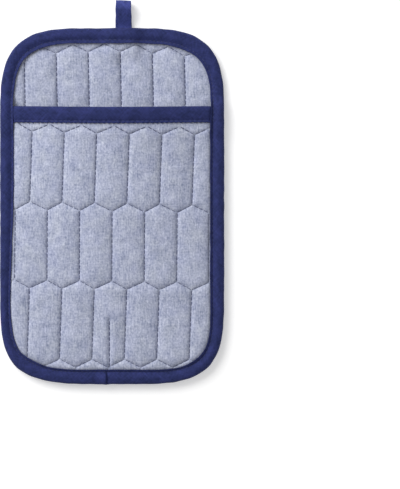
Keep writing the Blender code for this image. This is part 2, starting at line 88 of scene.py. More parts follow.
# Pocket mouth and its binding
MOUTH_TOP = 71.4 * MM
MOUTH_TAPE_WIDTH = 12.1 * MM
MOUTH_TAPE_GRIPPED, MOUTH_TAPE_OPEN = 0.6 * MM, 0.9 * MM
MOUTH_FOLD = 1.0 * MM
MOUTH_PANEL_GRIPPED, MOUTH_PANEL_OPEN = 1.0 * MM, 2.2 * MM
MOUTH_PULL = 1.0 * MM
MOUTH_ROW = 57.8 * MM
TAPE_UNDER_Y = 46 * MM  # from here to the mouth's row, room for the tape opens under the panel
PRESSED_Y = 53 * MM  # from here to the mouth's row, the tape presses the panel thinner
STEP_START, STEP_END = 0.6 * MM, 7.6 * MM  # above the mouth, where the binding steps down

# The gape of the pocket: an arch across, which dies away towards the bottom
GAPE = 8.6 * MM
GAPE_HALF_WIDTH = 68 * MM
GAPE_END_Y = -112 * MM
GAPE_ACROSS_POWER = 1.5
GAPE_DOWN_POWER = 1.25

# Quilting: rows of zigzags joined by upright seams
QUILT_RISE = 5.8 * MM
CELLS_EACH_SIDE = 5
FREE_END = 60 * MM
# A zigzag's peaks lie half-way between its valleys, but for their shift; bow is its curve
QuiltRow = namedtuple("QuiltRow", "y valley_x peak_shift slope bow", defaults=(0, 0, 0))
POCKET_PITCH = 23.1 * MM
POCKET_ROWS = (
    QuiltRow(y=55.1 * MM, valley_x=-10.4 * MM, peak_shift=0.9 * MM, slope=-0.021),
    QuiltRow(y=-0.7 * MM, valley_x=0.4 * MM, peak_shift=-1.1 * MM, slope=-0.020),
    QuiltRow(y=-56.1 * MM, valley_x=-12.4 * MM, peak_shift=0.9 * MM, slope=-0.013),
    QuiltRow(y=-111.9 * MM, valley_x=-2.7 * MM),
)
BODY_PITCH = 22.9 * MM
BODY_ROWS = (
    QuiltRow(y=113.3 * MM, valley_x=5.9 * MM, slope=-0.012, bow=0.9),
    QuiltRow(y=57.6 * MM, valley_x=-4.6 * MM, slope=-0.012),
    QuiltRow(y=1.9 * MM, valley_x=6.0 * MM, slope=-0.012),
    QuiltRow(y=-53.8 * MM, valley_x=-5.2 * MM, slope=-0.012),
    QuiltRow(y=-109.5 * MM, valley_x=6.0 * MM),
)

# The dart, a stitched upright tuck at the pocket's bottom
DART_X = -1.75 * MM
DART_TOP_Y, DART_BOTTOM_Y = -80.8 * MM, -115.4 * MM
DART_DEPTH = 2.7 * MM
DART_SOFTNESS = 3.0 * MM
DART = np.array([[(DART_X, DART_TOP_Y), (DART_X, DART_BOTTOM_Y)]])

# Hanging loop: a tape doubled into two legs, one on the other, with a drop-shaped eye
LOOP_X = 8.1 * MM
LOOP_WIDTH, LOOP_END_WIDTH = 11.6 * MM, 10.7 * MM
LOOP_TAPE = 1.1 * MM
LEGS_END_Y = HALF_HEIGHT - END_WIDTH - 2.0 * MM
LOOP_HEAD = 4.3 * MM
LOOP_SKEW = 0.05
LEGS_RISE = 2 * LOOP_TAPE + 2 * GAP
LEGS_MARGIN = 0.6 * MM
LEGS_RUN_X = 9.6 * MM
LEGS_RUN_Y = 13.6 * MM

PANEL_INSET = FOLD + GAP
FREE_INSET = 0.6 * MM

# Sewing
STITCH_PITCH = 3.75 * MM
Stitch = namedtuple("Stitch", "length radius")
SLANTED = Stitch(length=3.2 * MM, radius=0.25 * MM)
UPRIGHT = Stitch(length=2.9 * MM, radius=0.40 * MM)  # looser
IN_BODY = Stitch(length=2.9 * MM, radius=0.50 * MM)
IN_DART = Stitch(length=3.55 * MM, radius=0.48 * MM)
TOPSTITCH_RADIUS = 0.22 * MM
STITCH_LIFT = 0.24 * MM
BINDING_STITCH_PITCH = 3.4 * MM
HALF_STITCH = 0.36  # of that pitch
TOPSTITCH_LIFT, TOPSTITCH_SUNK = 0.08 * MM, 0.05 * MM
BACK_STITCH_INSET = 1.6 * MM  # from the binding's inner edge behind

# Silicone dots of the grip cloth
DOT_ACROSS, DOT_DOWN = 4.80 * MM, 4.90 * MM  # the lattice, which has a dot at each middle too
DOT_LEAN = math.radians(1.8)
DOT_WIDTH, DOT_HEIGHT, DOT_RISE = 1.5 * MM, 2.1 * MM, 0.3 * MM


def smooth(start, end, value):
    """0 up to start, 1 from end on, and an even S between them."""
    share = np.clip((value - start) / (end - start), 0.0, 1.0)
    return share * share * (3 - 2 * share)


def bell(away, width):
    """1 at no distance, and exp(-(away / width) ^ 2) further off."""
    return np.exp(-((away / width) ** 2))


# ---------------------------------------------------------------- camera, light and floor

# The photograph's frame: 400 x 489 pixels, whose long side takes the camera's sensor width
FRAME_PIXELS = (400, 489)
PIXEL = 0.7162 * MM
BODY_CENTRE_PIXEL = (112.4, 206.6)
CAMERA_HEIGHT = 1.5
SENSOR = 36.0

KEY_PLACE, KEY_SIZE, KEY_POWER = (-1.05, 1.05, 1.25), 1.4, 43
SURROUND_STRENGTH = 0.43
FLOOR_REACH = 3.0


def add_camera():
    """Looks straight down, so that the body's centre falls on its own pixel of the frame."""
    data = bpy.data.cameras.new("camera")
    data.sensor_width = SENSOR
    data.lens = SENSOR * CAMERA_HEIGHT / (FRAME_PIXELS[1] * PIXEL)
    data.clip_start = 0.05
    data.clip_end = 20
    camera = bpy.data.objects.new("camera", data)
    right = (FRAME_PIXELS[0] / 2 - BODY_CENTRE_PIXEL[0]) * PIXEL
    down = (FRAME_PIXELS[1] / 2 - BODY_CENTRE_PIXEL[1]) * PIXEL
    camera.location = (right, -LOOP_REACH / 2 - down, CAMERA_HEIGHT)
    bpy.context.scene.collection.objects.link(camera)
    bpy.context.scene.camera = camera


def add_area_light(name, place, size, power):
    """A square soft light, turned to the part."""
    data = bpy.data.lights.new(name, "AREA")
    data.size = size
    data.energy = power
    light = bpy.data.objects.new(name, data)
    light.location = place
    light.rotation_euler = (-light.location).to_track_quat("-Z", "Y").to_euler()
    bpy.context.scene.collection.objects.link(light)


def add_studio():
    """A pale floor, a soft key light from the upper left and an even pale surround."""
    scene = bpy.context.scene
    scene.view_settings.view_transform = "Standard"
    world = bpy.data.worlds.new("surround")
    world.use_nodes = True
    background = world.node_tree.nodes["Background"].inputs
    background["Color"].default_value = (1, 1, 1, 1)
    background["Strength"].default_value = SURROUND_STRENGTH
    scene.world = world
    add_area_light("key", KEY_PLACE, KEY_SIZE, KEY_POWER)
    mesh = bpy.data.meshes.new("floor")
    corners = [(x * FLOOR_REACH, y * FLOOR_REACH, 0) for x, y in ((-1, -1), (1, -1), (1, 1), (-1, 1))]
    mesh.from_pydata(corners, [], [(0, 1, 2, 3)])
    floor = bpy.data.objects.new("floor", mesh)
    scene.collection.objects.link(floor)
    paper = Paint("floor_paper", (0.80, 0.80, 0.80), 0.9, emission_strength=0.36)
    paper.set("Emission Color", (1, 1, 1, 1))
    mesh.materials.append(paper.material)


# ---------------------------------------------------------------- shader maths


class Value:
    """A shader socket that stands in an expression, which adds its Math nodes."""

    def __init__(self, paint, socket):
        self.paint = paint
        self.socket = socket

    def math(self, operation, *others):
        """A Math node of this value and the others."""
        return self.paint.node("Math", {"operation": operation}, dict(enumerate((self, *others))))

    __add__ = __radd__ = partialmethod(math, "ADD")
    __sub__ = partialmethod(math, "SUBTRACT")
    __mul__ = __rmul__ = partialmethod(math, "MULTIPLY")
    __truediv__ = partialmethod(math, "DIVIDE")
    sine = partialmethod(math, "SINE")
    magnitude = partialmethod(math, "ABSOLUTE")

    def clipped(self):
        """Held between 0 and 1."""
        return self.paint.node("Clamp", {}, {"Value": self})


SOCKETS = {
    "sheen_weight": "Sheen Weight",
    "specular_ior_level": "Specular IOR Level",
    "coat_weight": "Coat Weight",
    "emission_strength": "Emission Strength",
}


class Paint:
    """A material being made: a Principled BSDF, and nodes that are fed into it."""

    def __init__(self, name, colour, roughness=0.8, **constants):
        self.material = bpy.data.materials.new(name)
        self.material.use_nodes = True
        self.nodes = self.material.node_tree.nodes
        self.links = self.material.node_tree.links
        self.shader = self.nodes["Principled BSDF"]
        self.set("Base Color", (*colour, 1))
        self.set("Roughness", roughness)
        for socket, value in constants.items():
            self.set(SOCKETS[socket], value)
        self.material.diffuse_color = (*colour, 1)

    def set(self, socket, value):
        """Feeds one of the shader's own sockets."""
        self.feed(self.shader.inputs[socket], value)

    def feed(self, socket, value):
        if isinstance(value, Value):
            self.links.new(value.socket, socket)
        else:
            socket.default_value = value

    def node(self, kind, settings, values, output=0):
        """A node of that type: its settings first, then the values or links of its sockets."""
        made = self.nodes.new("ShaderNode" + kind)
        for setting, value in settings.items():
            setattr(made, setting, value)
        for socket, value in values.items():
            self.feed(made.inputs[socket], value)
        return Value(self, made.outputs[output])

    def place(self, source):
        """x, y and z of the object's own coordinates, or u and v of its UV map, all in metres."""
        found = self.node("TexCoord", {}, {}, source)
        parts = [self.node("SeparateXYZ", {}, {0: found}, axis) for axis in "XYZ"]
        return [part * UV_UNIT for part in parts] if source == "UV" else parts

    def noise(self, x, y, width, length, z=0.0, detail=2.0):
        """Noise about 0, from -1 to 1, whose features are this wide along x and long along y."""
        vector = self.node("CombineXYZ", {}, {"X": x / width, "Y": y / length, "Z": z})
        values = {"Vector": vector, "Scale": 1.0, "Detail": detail, "Roughness": 0.55}
        return (self.node("TexNoise", {}, values) - 0.5) * 2

    def mix(self, first, second, share):
        """A colour between two, at this share of the second."""
        values = {0: share, 6: (*first, 1), 7: (*second, 1)}
        return self.node("Mix", {"data_type": "RGBA"}, values, 2)

    def shade(self, colour, light):
        """A colour made lighter or darker by a factor."""
        values = {0: colour, 3: light}
        return self.node("VectorMath", {"operation": "SCALE"}, values)

    def bump(self, height, distance):
        """Raises the surface by height times distance."""
        values = {"Height": height, "Distance": distance, "Strength": 1.0}
        self.set("Normal", self.node("Bump", {}, values))


UV_UNIT = 0.1  # one unit of every UV map is this many metres


def woven(x, y, pitch):
    """A plain weave's height, -1 to 1: a product of two waves, so over and under alternate."""
    turn = math.pi / pitch
    return (x * turn).sine() * (y * turn).sine()


def chambray():
    """Blue warp and white weft: slubs run both ways, and the finest grain is the weave."""
    paint = Paint("chambray", (0.38, 0.41, 0.55), 0.92, sheen_weight=0.08)
    x, y = paint.place("Object")[:2]
    warp = paint.noise(x, y, 1.0 * MM, 8 * MM)
    weft = paint.noise(x, y, 6 * MM, 1.1 * MM, 3.0)
    grain = paint.noise(x, y, 1.3 * MM, 1.5 * MM, 7.0, 1.0)
    patch = paint.noise(x, y, 5 * MM, 7 * MM, 9.0, 1.0)
    yarn = paint.noise(x, y, 0.6 * MM, 2.4 * MM, 5.0)
    cloud = paint.noise(x, y, 11 * MM, 17 * MM, 11.0, 1.0)
    hue = paint.noise(x, y, 9 * MM, 13 * MM, 13.0, 1.0)
    weave = woven(x, y, 0.42 * MM)
    slub = warp * 0.44 + weft * 0.22 + grain * 0.52 + yarn * 0.32
    pale = (slub * 1.05 + patch * 0.26 + cloud * 0.22 + weave * 0.10 + 0.5).clipped()
    tone = paint.mix((0.187, 0.217, 0.332), (0.545, 0.574, 0.704), pale)
    tint = (hue * 1.1 - patch * 0.3 + 0.5).clipped()
    warm = paint.mix((1.014, 1.013, 0.979), (0.986, 0.987, 1.021), tint)
    values = {0: tone, 1: warm}
    paint.set("Base Color", paint.node("VectorMath", {"operation": "MULTIPLY"}, values))
    paint.bump(slub * 0.6 + weave * 0.4, 0.07 * MM)
    return paint.material


def navy_tape(name, strength):
    """Navy cotton cut on the bias, so its weave runs at 45 degrees to the tape."""
    paint = Paint(name, (0.024, 0.031, 0.110), 0.85, sheen_weight=0.02, specular_ior_level=0.12)
    u, v = paint.place("UV")[:2]
    first, second = (u + v) * math.sqrt(0.5), (u - v) * math.sqrt(0.5)
    # Painted shade: the weave term in the colour below darkens the tape where the weave's bump is low.
    weave = woven(first, second, 0.45 * MM)
    streaks = paint.noise(first, second, 1.1 * MM, 5 * MM)
    crossing = paint.noise(first, second, 5 * MM, 1.1 * MM, 5.0)
    wear = paint.noise(u, v, 9 * MM, 5 * MM, 9.0)
    # strength scales the navy's colour: 1.0 for the binding, and 1.78 for the loop, where it is painted
    # light, a lit copy of the same tape.
    light = strength * (1.06 + streaks * 0.46 + crossing * 0.46 + weave * 0.10 + wear * 0.36)
    tint = (wear * 0.8 + 0.5).clipped()
    colour = paint.mix((0.0205, 0.0285, 0.102), (0.0250, 0.0310, 0.118), tint)
    paint.set("Base Color", paint.shade(colour, light))
    paint.bump(weave * 0.5 + streaks * 0.35 + crossing * 0.35, 0.08 * MM)
    return paint.material


def grip_cloth():
    """A fine navy knit: upright wales, each a chain of small loops."""
    colour = (0.024, 0.029, 0.078)
    paint = Paint("grip_cloth", colour, 0.85, sheen_weight=0.12)
    x, y = paint.place("Object")[:2]
    wale = 1.2 * MM
    across = (x * (math.pi / wale)).sine().magnitude()
    chain = ((y * (2 * math.pi / (0.9 * MM))) + across * 2.0).sine()
    grain = paint.noise(x, y, 0.5 * MM, 1.2 * MM)
    # Painted shade: the colour darkens in the grooves between wales and between loops, where the bump
    # is low.
    light = 0.72 + across * 0.4 + chain * 0.12 + grain * 0.25
    paint.set("Base Color", paint.shade(colour, light))
    paint.bump(across * 0.8 + chain * 0.25 + grain * 0.2, 0.15 * MM)
    return paint.material


def grip_dots():
    """Pale rubbery silicone, a little unlike from dot to dot."""
    colour = (0.13, 0.145, 0.25)
    paint = Paint("grip_dots", colour, 0.42, coat_weight=0.1)
    x, y = paint.place("Object")[:2]
    light = 1 + paint.noise(x, y, 3 * MM, 3 * MM) * 0.5
    paint.set("Base Color", paint.shade(colour, light))
    paint.bump(paint.noise(x, y, 0.3 * MM, 0.3 * MM), 0.02 * MM)
    return paint.material


def thread(name, colour):
    """Sewing thread: its twist runs slantwise round it."""
    paint = Paint(name, colour, 0.6, sheen_weight=0.1)
    x, y, z = paint.place("Object")
    twist = ((x + y * 0.6 + z) * (2 * math.pi / (0.5 * MM))).sine()
    # Painted shade: the colour darkens in the twist's grooves, where the bump is low.
    paint.set("Base Color", paint.shade(colour, 1 + twist * 0.25))
    paint.bump(twist, 0.03 * MM)
    return paint.material


# ---------------------------------------------------------------- outline and heights


def past_straight(x, y):
    """How far past the ends of the straight sides a point is, each way."""
    return np.maximum(np.abs(x) - STRAIGHT_X, 0), np.maximum(np.abs(y) - STRAIGHT_Y, 0)


def inset_at(x, y):
    """How far inside the outline a point is, measured along its ray from the corner's centre."""
    past_x, past_y = past_straight(x, y)
    return CORNER - (past_x**CORNER_POWER + past_y**CORNER_POWER) ** (1 / CORNER_POWER)


def drawn_in(x, y, inset):
    """Points outside the outline moved in by this inset, brought onto it along their rays."""
    share = np.minimum((CORNER - inset) / np.maximum(CORNER - inset_at(x, y), MM), 1)
    past_x, past_y = past_straight(x, y)
    moved_x = np.where(past_x > 0, np.sign(x) * (STRAIGHT_X + past_x * share), x)
    moved_y = np.where(past_y > 0, np.sign(y) * (STRAIGHT_Y + past_y * share), y)
    return moved_x, moved_y


def binding_width(x, y):
    """Wider at the ends than at the sides, least at the lower left, and pinched at some places."""
    beside = smooth(-15 * MM, 15 * MM, (np.abs(x) - HALF_WIDTH) - (np.abs(y) - HALF_HEIGHT))
    loss = np.where(x < 0, NARROWING, 0) * bell(y - NARROWEST_Y, NARROW_SPREAD)
    width = END_WIDTH + beside * (SIDE_WIDTH - END_WIDTH - loss)
    for pinch in PINCHES:
        width = width - pinch.loss * bell(np.hypot(x - pinch.x, y - pinch.y), PINCH_SPREAD)
    return width


def flange(x, y):
    """How far the binding reaches past its stitch line: least at the left, most at the top left."""
    top = smooth(95 * MM, 120 * MM, y) * smooth(45 * MM, 0, x)
    left = smooth(-40 * MM, -75 * MM, x) * (1 - top)
    return FLANGE + left * (FLANGE_LEFT - FLANGE) + top * (FLANGE_TOP - FLANGE)


def free_depth(x, y):
    """How far inside the edge binding's grip a point is."""
    return inset_at(x, y) - binding_width(x, y) - FREE_INSET


def swell(x, y, run):
    """0 where the binding grips the layers, 1 in the open."""
    return smooth(0, run, free_depth(x, y))


def stitched_depth(x, y):
    """How far inside the edge binding's stitch line a point is."""
    return inset_at(x, y) - binding_width(x, y) + flange(x, y)


def face_rise(x, y):
    """0 out to the binding's stitch line, and inside it 1 - exp(-(depth / run) ^ power)."""
    depth = np.maximum(stitched_depth(x, y), 0)
    return 1 - np.exp(-((depth / FACE_RUN) ** FACE_POWER))


def legs_rise(x, y):
    """How much the loop's legs hold the layers off the surface."""
    half = LOOP_WIDTH / 2 + LEGS_MARGIN
    beside = smooth(half, half + LEGS_RUN_X, np.abs(x - LOOP_X))
    below = smooth(LEGS_END_Y - LEGS_RUN_Y, LEGS_END_Y - LEGS_MARGIN, y)
    return LEGS_RISE * (1 - beside) * below


def back_bottom(x, y):
    """The back's underside: on the surface in the open, and over the folded tape at the edge."""
    return legs_rise(x, y) + (TAPE + GAP) * (1 - swell(x, y, BACK_RUN))


def back_top(x, y):
    return back_bottom(x, y) + BACK_GRIPPED + (BACK_OPEN - BACK_GRIPPED) * swell(x, y, BACK_RUN)


def body_bottom(x, y):
    return back_top(x, y) + GAP


BODY_EDGE_TOP = TAPE + GAP + BACK_GRIPPED + GAP + BODY_GRIPPED
BODY_CREST = BACK_OPEN + GAP + BODY_OPEN


def body_crest(x, y):
    """The body panel's top without its seams."""
    return legs_rise(x, y) + BODY_EDGE_TOP + (BODY_CREST - BODY_EDGE_TOP) * face_rise(x, y)


# How much what crosses under the binding at the mouth rises past the stitch line
CROSSING_RISE = MOUTH_PANEL_OPEN - MOUTH_PANEL_GRIPPED
CROSSING_RISE += 2 * (MOUTH_TAPE_OPEN - MOUTH_TAPE_GRIPPED) + 1.1 * MM


def mouth_share(y):
    """0 below the mouth's tape and 1 in its fold."""
    return smooth(TAPE_UNDER_Y, MOUTH_ROW, y)


def pressed_share(y):
    """0 where the pocket panel is full and 1 where the mouth's tape presses it."""
    return smooth(PRESSED_Y, MOUTH_ROW, y)


def gape_across(x):
    """The gape's arch, (1 - (x / half width) ^ 2) ^ power."""
    return np.maximum(1 - (x / GAPE_HALF_WIDTH) ** 2, 0) ** GAPE_ACROSS_POWER


def gape(x, y):
    """How far the pocket stands open: its arch, times a power of the way up from its low end."""
    down = np.clip((y - GAPE_END_Y) / (MOUTH_TOP - GAPE_END_Y), 0, 1.2) ** GAPE_DOWN_POWER
    return GAPE * gape_across(x) * down


def tape_thickness(free):
    """The mouth tape's thickness, less where the edge binding grips it."""
    return MOUTH_TAPE_GRIPPED + free * (MOUTH_TAPE_OPEN - MOUTH_TAPE_GRIPPED)


def pocket_bottom(x, y):
    """The pocket panel's underside, over the body panel, the mouth's tape and the gape."""
    free = face_rise(x, y)
    tape = mouth_share(y) * (GAP + tape_thickness(free))
    return body_crest(x, y) + GAP + tape + 0.05 * MM * free + gape(x, y)


def pocket_crest(x, y):
    """The pocket panel's top without its seams."""
    gripped = POCKET_GRIPPED + mouth_share(y) * (MOUTH_PANEL_GRIPPED - POCKET_GRIPPED)
    full = POCKET_OPEN + pressed_share(y) * (MOUTH_PANEL_OPEN - POCKET_OPEN)
    return pocket_bottom(x, y) + gripped + face_rise(x, y) * (full - gripped)


def above_mouth(y):
    """0 beside the pocket and 1 where the edge binding holds the body alone."""
    return smooth(MOUTH_TOP + STEP_START, MOUTH_TOP + STEP_END, y)


def channel_top(x, y):
    """Height of the space inside the edge binding. Past the stitch line it rises with the faces."""
    free = face_rise(x, y)
    pocket = POCKET_GRIPPED + GAP + free * (POCKET_OPEN - POCKET_GRIPPED)
    crossing = MOUTH_PANEL_GRIPPED + 2 * MOUTH_TAPE_GRIPPED + 3 * GAP + free * CROSSING_RISE
    body = BODY_EDGE_TOP + free * (BODY_CREST - BODY_EDGE_TOP) + GAP
    return body + (1 - above_mouth(y)) * (pocket + mouth_share(y) * (crossing - pocket))


def pull_back(x, y):
    """The raised middle of the mouth is drawn towards the bottom."""
    return MOUTH_PULL * gape_across(x) * smooth(0, MOUTH_ROW, y)


def ripple(x, y, length, seed):
    """Even unevenness, about -1 to 1: twelve plane waves of about this length, all ways."""
    draw = np.random.default_rng(seed)
    total = np.zeros(np.broadcast(x, y).shape)
    for heading, phase, stretch in draw.random((12, 3)) * (math.tau, math.tau, 1):
        turn = math.tau / (length * (0.6 + 0.9 * stretch))
        total += np.sin((x * math.cos(heading) + y * math.sin(heading)) * turn + phase)
    return total / math.sqrt(24)


# ---------------------------------------------------------------- quilting


def quilt_point(row, pitch, step):
    """Corner number step of a zigzag: a valley where it is even, a peak where it is odd."""
    peak = step % 2
    x = row.valley_x + step * pitch / 2 + peak * row.peak_shift
    height = row.y + row.slope * x - row.bow * x * x
    return (x, height + (peak - 0.5) * QUILT_RISE)


def quilt_seams(rows, pitch):
    """Every straight seam, as its two ends: the zigzags, and the uprights between them."""
    steps = range(-2 * CELLS_EACH_SIDE, 2 * CELLS_EACH_SIDE)
    seams = []
    for row, following in zip(rows, rows[1:] + (None,)):
        points = [quilt_point(row, pitch, step) for step in steps]
        seams += list(zip(points, points[1:]))
        for x, y in points[::2]:
            end = (x, y - FREE_END)
            if following:
                halves = (x - following.valley_x) / (pitch / 2)
                end = quilt_point(following, pitch, 2 * round((halves - 1) / 2) + 1)
            seams.append(((x, y), end))
    peaks = [quilt_point(rows[0], pitch, step) for step in steps if step % 2]
    seams += [((x, y), (x, y + FREE_END)) for x, y in peaks]
    return np.array(seams)


def seam_places(x, y, seams):
    """For each point and seam, its distance, and how far along the seam its nearest place is."""
    points = np.stack([np.ravel(x), np.ravel(y)], -1)
    start, along = seams[:, 0], seams[:, 1] - seams[:, 0]
    length = np.linalg.norm(along, axis=1)
    offset = points[:, None] - start
    share = np.clip((offset * along).sum(2) / length**2, 0, 1)
    return np.linalg.norm(offset - share[..., None] * along, axis=2), share * length


def seam_distance(x, y, seams):
    """How far each point is from the nearest seam."""
    return seam_places(x, y, seams)[0].min(1).reshape(np.shape(x))


PUCKER_REACH = 1.9 * MM


def quilt_relief(x, y, seams, fullness):
    """How far under its crest a quilted face lies.

    The puffs rise as far as their fullness says. A narrow V runs along each seam, with a
    pucker to every stitch, and faint creases cross the puffs beside it.
    """
    distance, along = seam_places(x, y, seams)
    nearest = distance.argmin(1)
    each = np.arange(len(nearest))
    near = distance[each, nearest]
    first_hole = np.linalg.norm(seams[:, 1] - seams[:, 0], axis=1) % STITCH_PITCH / 2
    past_hole = along[each, nearest] - first_hole[nearest]
    heading = np.abs(seams[:, 1] - seams[:, 0])
    tight = np.where(heading[:, 1] > heading[:, 0], 1, 0.75)[nearest]
    groove = 0.92 * MM * np.exp(-near / (1.3 * MM)) + 0.55 * MM * np.exp(-near / (0.5 * MM))
    sunk = PUFF_RISE * (1 - np.ravel(fullness)) + tight * groove
    pucker = 0.08 * MM * np.cos(past_hole * math.tau / STITCH_PITCH) * bell(near, PUCKER_REACH)
    crease = ripple(x, y, 8 * MM, 3).ravel() * 0.16 * MM * np.exp(-near / (5 * MM))
    waves = ripple(x, y, 17 * MM, 5).ravel() * 0.10 * MM
    return np.maximum(sunk + pucker + crease + waves + 0.26 * MM, 0).reshape(np.shape(x))


def dart_relief(x, y):
    """The dart: a soft trough with a sharp crease in it, deeper towards its bottom."""
    distance = seam_distance(x, y, DART)
    down = 0.6 + 0.4 * smooth(DART_TOP_Y, DART_BOTTOM_Y, y)
    trough = DART_DEPTH * 0.50 * bell(distance, DART_SOFTNESS)
    return down * (trough + DART_DEPTH * 0.75 * np.exp(-distance / (0.7 * MM)))


POCKET_SEAMS = quilt_seams(POCKET_ROWS, POCKET_PITCH)
BODY_SEAMS = quilt_seams(BODY_ROWS, BODY_PITCH)


def body_face(x, y, fullness=0):
    """The body panel's quilted top. On its seams, where the stitches are, fullness is 0."""
    fullness = fullness + 0 * x
    return body_crest(x, y) - face_rise(x, y) * quilt_relief(x, y, BODY_SEAMS, fullness)


def pocket_face(x, y, fullness=0):
    """The pocket panel's quilted top, with its dart."""
    fullness = fullness + 0 * x
    relief = (1 - pressed_share(y)) * quilt_relief(x, y, POCKET_SEAMS, fullness)
    dart = dart_relief(x, y)
    relief = np.where(seam_distance(x, y, DART) < SAME_PLACE, 0, relief)
    return pocket_crest(x, y) - face_rise(x, y) * np.maximum(relief, dart)


# ---------------------------------------------------------------- grids that follow the seams

Spacing = namedtuple("Spacing", "beside_seam in_puff")  # of grid lines
FINE = Spacing(beside_seam=np.array([0, 0.35, 0.8, 1.5, 2.6, 4.1]) * MM, in_puff=1.6 * MM)
COARSE = Spacing(beside_seam=np.array([0, 1.2, 2.6]) * MM, in_puff=1.7 * MM)
SAME_PLACE = 0.01 * MM


def between_seams(length, spacing):
    """Places from 0 to length, close together at both ends. The last place is left out."""
    beside = spacing.beside_seam
    reach = beside[-1]
    steps = max(round((length - 2 * reach) / spacing.in_puff), 1)
    middle = np.linspace(reach, length - reach, steps + 1)
    return np.concatenate([beside[:-1], middle, length - beside[-2:0:-1]])


def peak_share(row, pitch, x):
    """A triangle wave: 0 at the row's valleys, 1 half-way between them."""
    phase = (x - row.valley_x) / pitch
    return 2 * np.abs(phase - np.round(phase))


QuiltGrid = namedtuple("QuiltGrid", "x y columns rows")


def quilt_grid(rows, pitch, top_y, bottom_y, spacing):
    """Grid lines over a quilted panel, its columns along the uprights and its rows along the zigzags.

    A column keeps its place in the pitch from row to row, but for the shift of the peaks, so it
    leans as the uprights do. A grid row takes the shape of a zigzag near it, and straightens
    half-way to the next one.
    """
    half = pitch / 2
    reach = math.ceil(HALF_WIDTH / half) + 1
    u = np.add.outer(np.arange(-reach, reach) * half, between_seams(half, spacing)).ravel()
    u = np.append(u, reach * half)
    offsets = [rows[0].valley_x % half]
    for row in rows[1:]:
        offsets.append(row.valley_x - round((row.valley_x - offsets[-1]) / half) * half)
    levels = [QuiltRow(top_y, rows[0].valley_x), *rows, QuiltRow(bottom_y, rows[-1].valley_x)]
    offsets = [offsets[0], *offsets, offsets[-1]]
    xs, ys, heights = [], [], []
    for i, (upper, lower) in enumerate(zip(levels, levels[1:])):
        depth = upper.y - lower.y
        places = between_seams(depth, spacing)
        if i == len(levels) - 2:
            places = np.append(places, depth)
        q = (places / depth)[:, None]
        x = (1 - q) * offsets[i] + q * offsets[i + 1] + u
        ends = ((upper, 1 - q, offsets[i] + u), (lower, q, offsets[i + 1] + u))
        x = x + sum(share * row.peak_shift * peak_share(row, pitch, at) for row, share, at in ends)
        y = 0
        for row, share, at in ends:
            line = row.y + row.slope * x - row.bow * x * x
            straight = row is levels[0] or row is levels[-1]
            bent = 0 if straight else (peak_share(row, pitch, at) - 0.5) * QUILT_RISE
            y = y + share * line + bent * smooth(0.45, 1, share)
        xs.append(x)
        ys.append(y)
        heights.append(upper.y - places)
    xs, ys, heights = (np.concatenate(part)[::-1] for part in (xs, ys, heights))
    return QuiltGrid(x=xs, y=ys, columns=u, rows=heights)


# ---------------------------------------------------------------- the puffs, by cloth simulation

SIM_SCALE = 100  # the simulated sheet is this much larger, so its pieces aren't too light
SIM_FRAMES = 20
SIM_PRESSURE = 0.8
SIM_BENDING = 0.5
SIM_HELD = 0.2 * MM  # from a seam
SIM_SLACK = 0.030  # how much longer the face cloth is than the flat panel
PUFF_RISE = 1.25 * MM
FULL_PERCENT = 97  # of the sheet lies lower than a full puff
FULLEST = 1.12


def blown_up(points, faces, held):
    """Heights of a flat sheet after a cloth simulation: pressed from below, held where held says."""
    scene = bpy.context.scene
    mesh = bpy.data.meshes.new("puffs")
    mesh.from_pydata((points * SIM_SCALE).tolist(), [], faces)
    sheet = bpy.data.objects.new("puffs", mesh)
    scene.collection.objects.link(sheet)
    sheet.vertex_groups.new(name="held").add(np.flatnonzero(held).tolist(), 1.0, "REPLACE")
    cloth = sheet.modifiers.new("Cloth", "CLOTH")
    cloth.settings.vertex_group_mass = "held"
    cloth.settings.use_pressure = True
    cloth.settings.uniform_pressure_force = SIM_PRESSURE
    cloth.settings.effector_weights.gravity = 0
    cloth.settings.shrink_min = -SIM_SLACK
    cloth.settings.bending_stiffness = SIM_BENDING
    cloth.collision_settings.use_collision = False
    cloth.point_cache.frame_start, cloth.point_cache.frame_end = 1, SIM_FRAMES
    for at in range(1, SIM_FRAMES + 1):
        scene.frame_set(at)
    settled = sheet.evaluated_get(bpy.context.evaluated_depsgraph_get()).data
    moved = np.empty(len(points) * 3)
    settled.vertices.foreach_get("co", moved)
    scene.frame_set(1)
    bpy.data.objects.remove(sheet)
    return moved.reshape(-1, 3)[:, 2] / SIM_SCALE


def carried(values, places, finer):
    """Values at finer places of a smooth curve through those at places: cubic pieces, whose
    slope at each place is that between its neighbours."""
    slope = np.gradient(values, places, axis=0)
    i = np.clip(np.searchsorted(places, finer, side="right") - 1, 0, len(places) - 2)
    step = (places[i + 1] - places[i])[:, None]
    t = (finer - places[i])[:, None] / step
    start = (1 + 2 * t) * (1 - t) ** 2 * values[i] + t * (1 - t) ** 2 * step * slope[i]
    end = t * t * (3 - 2 * t) * values[i + 1] + t * t * (t - 1) * step * slope[i + 1]
    return start + end


def simulated_fullness(grid, coarse, seams, held_above):
    """The fullness of every puff, from the coarse grid's simulation, on the fine grid."""
    x, y = coarse.x, coarse.y
    on_seam = seam_distance(x, y, seams) < SIM_HELD
    held = on_seam | (stitched_depth(x, y) <= 0) | (y > held_above)
    used, faces = np.unique(grid_quads(inset_at(x, y) > PANEL_INSET), return_inverse=True)
    flat = np.column_stack([x.ravel(), y.ravel(), 0 * x.ravel()])[used]
    height = np.zeros(x.size)
    height[used] = blown_up(flat, faces.reshape(-1, 4).tolist(), held.ravel()[used])
    full = np.percentile(height[used], FULL_PERCENT)
    fullness = np.clip(height / full, 0, FULLEST).reshape(x.shape)
    across = carried(fullness.T, coarse.columns, grid.columns).T
    return carried(across, coarse.rows, grid.rows)


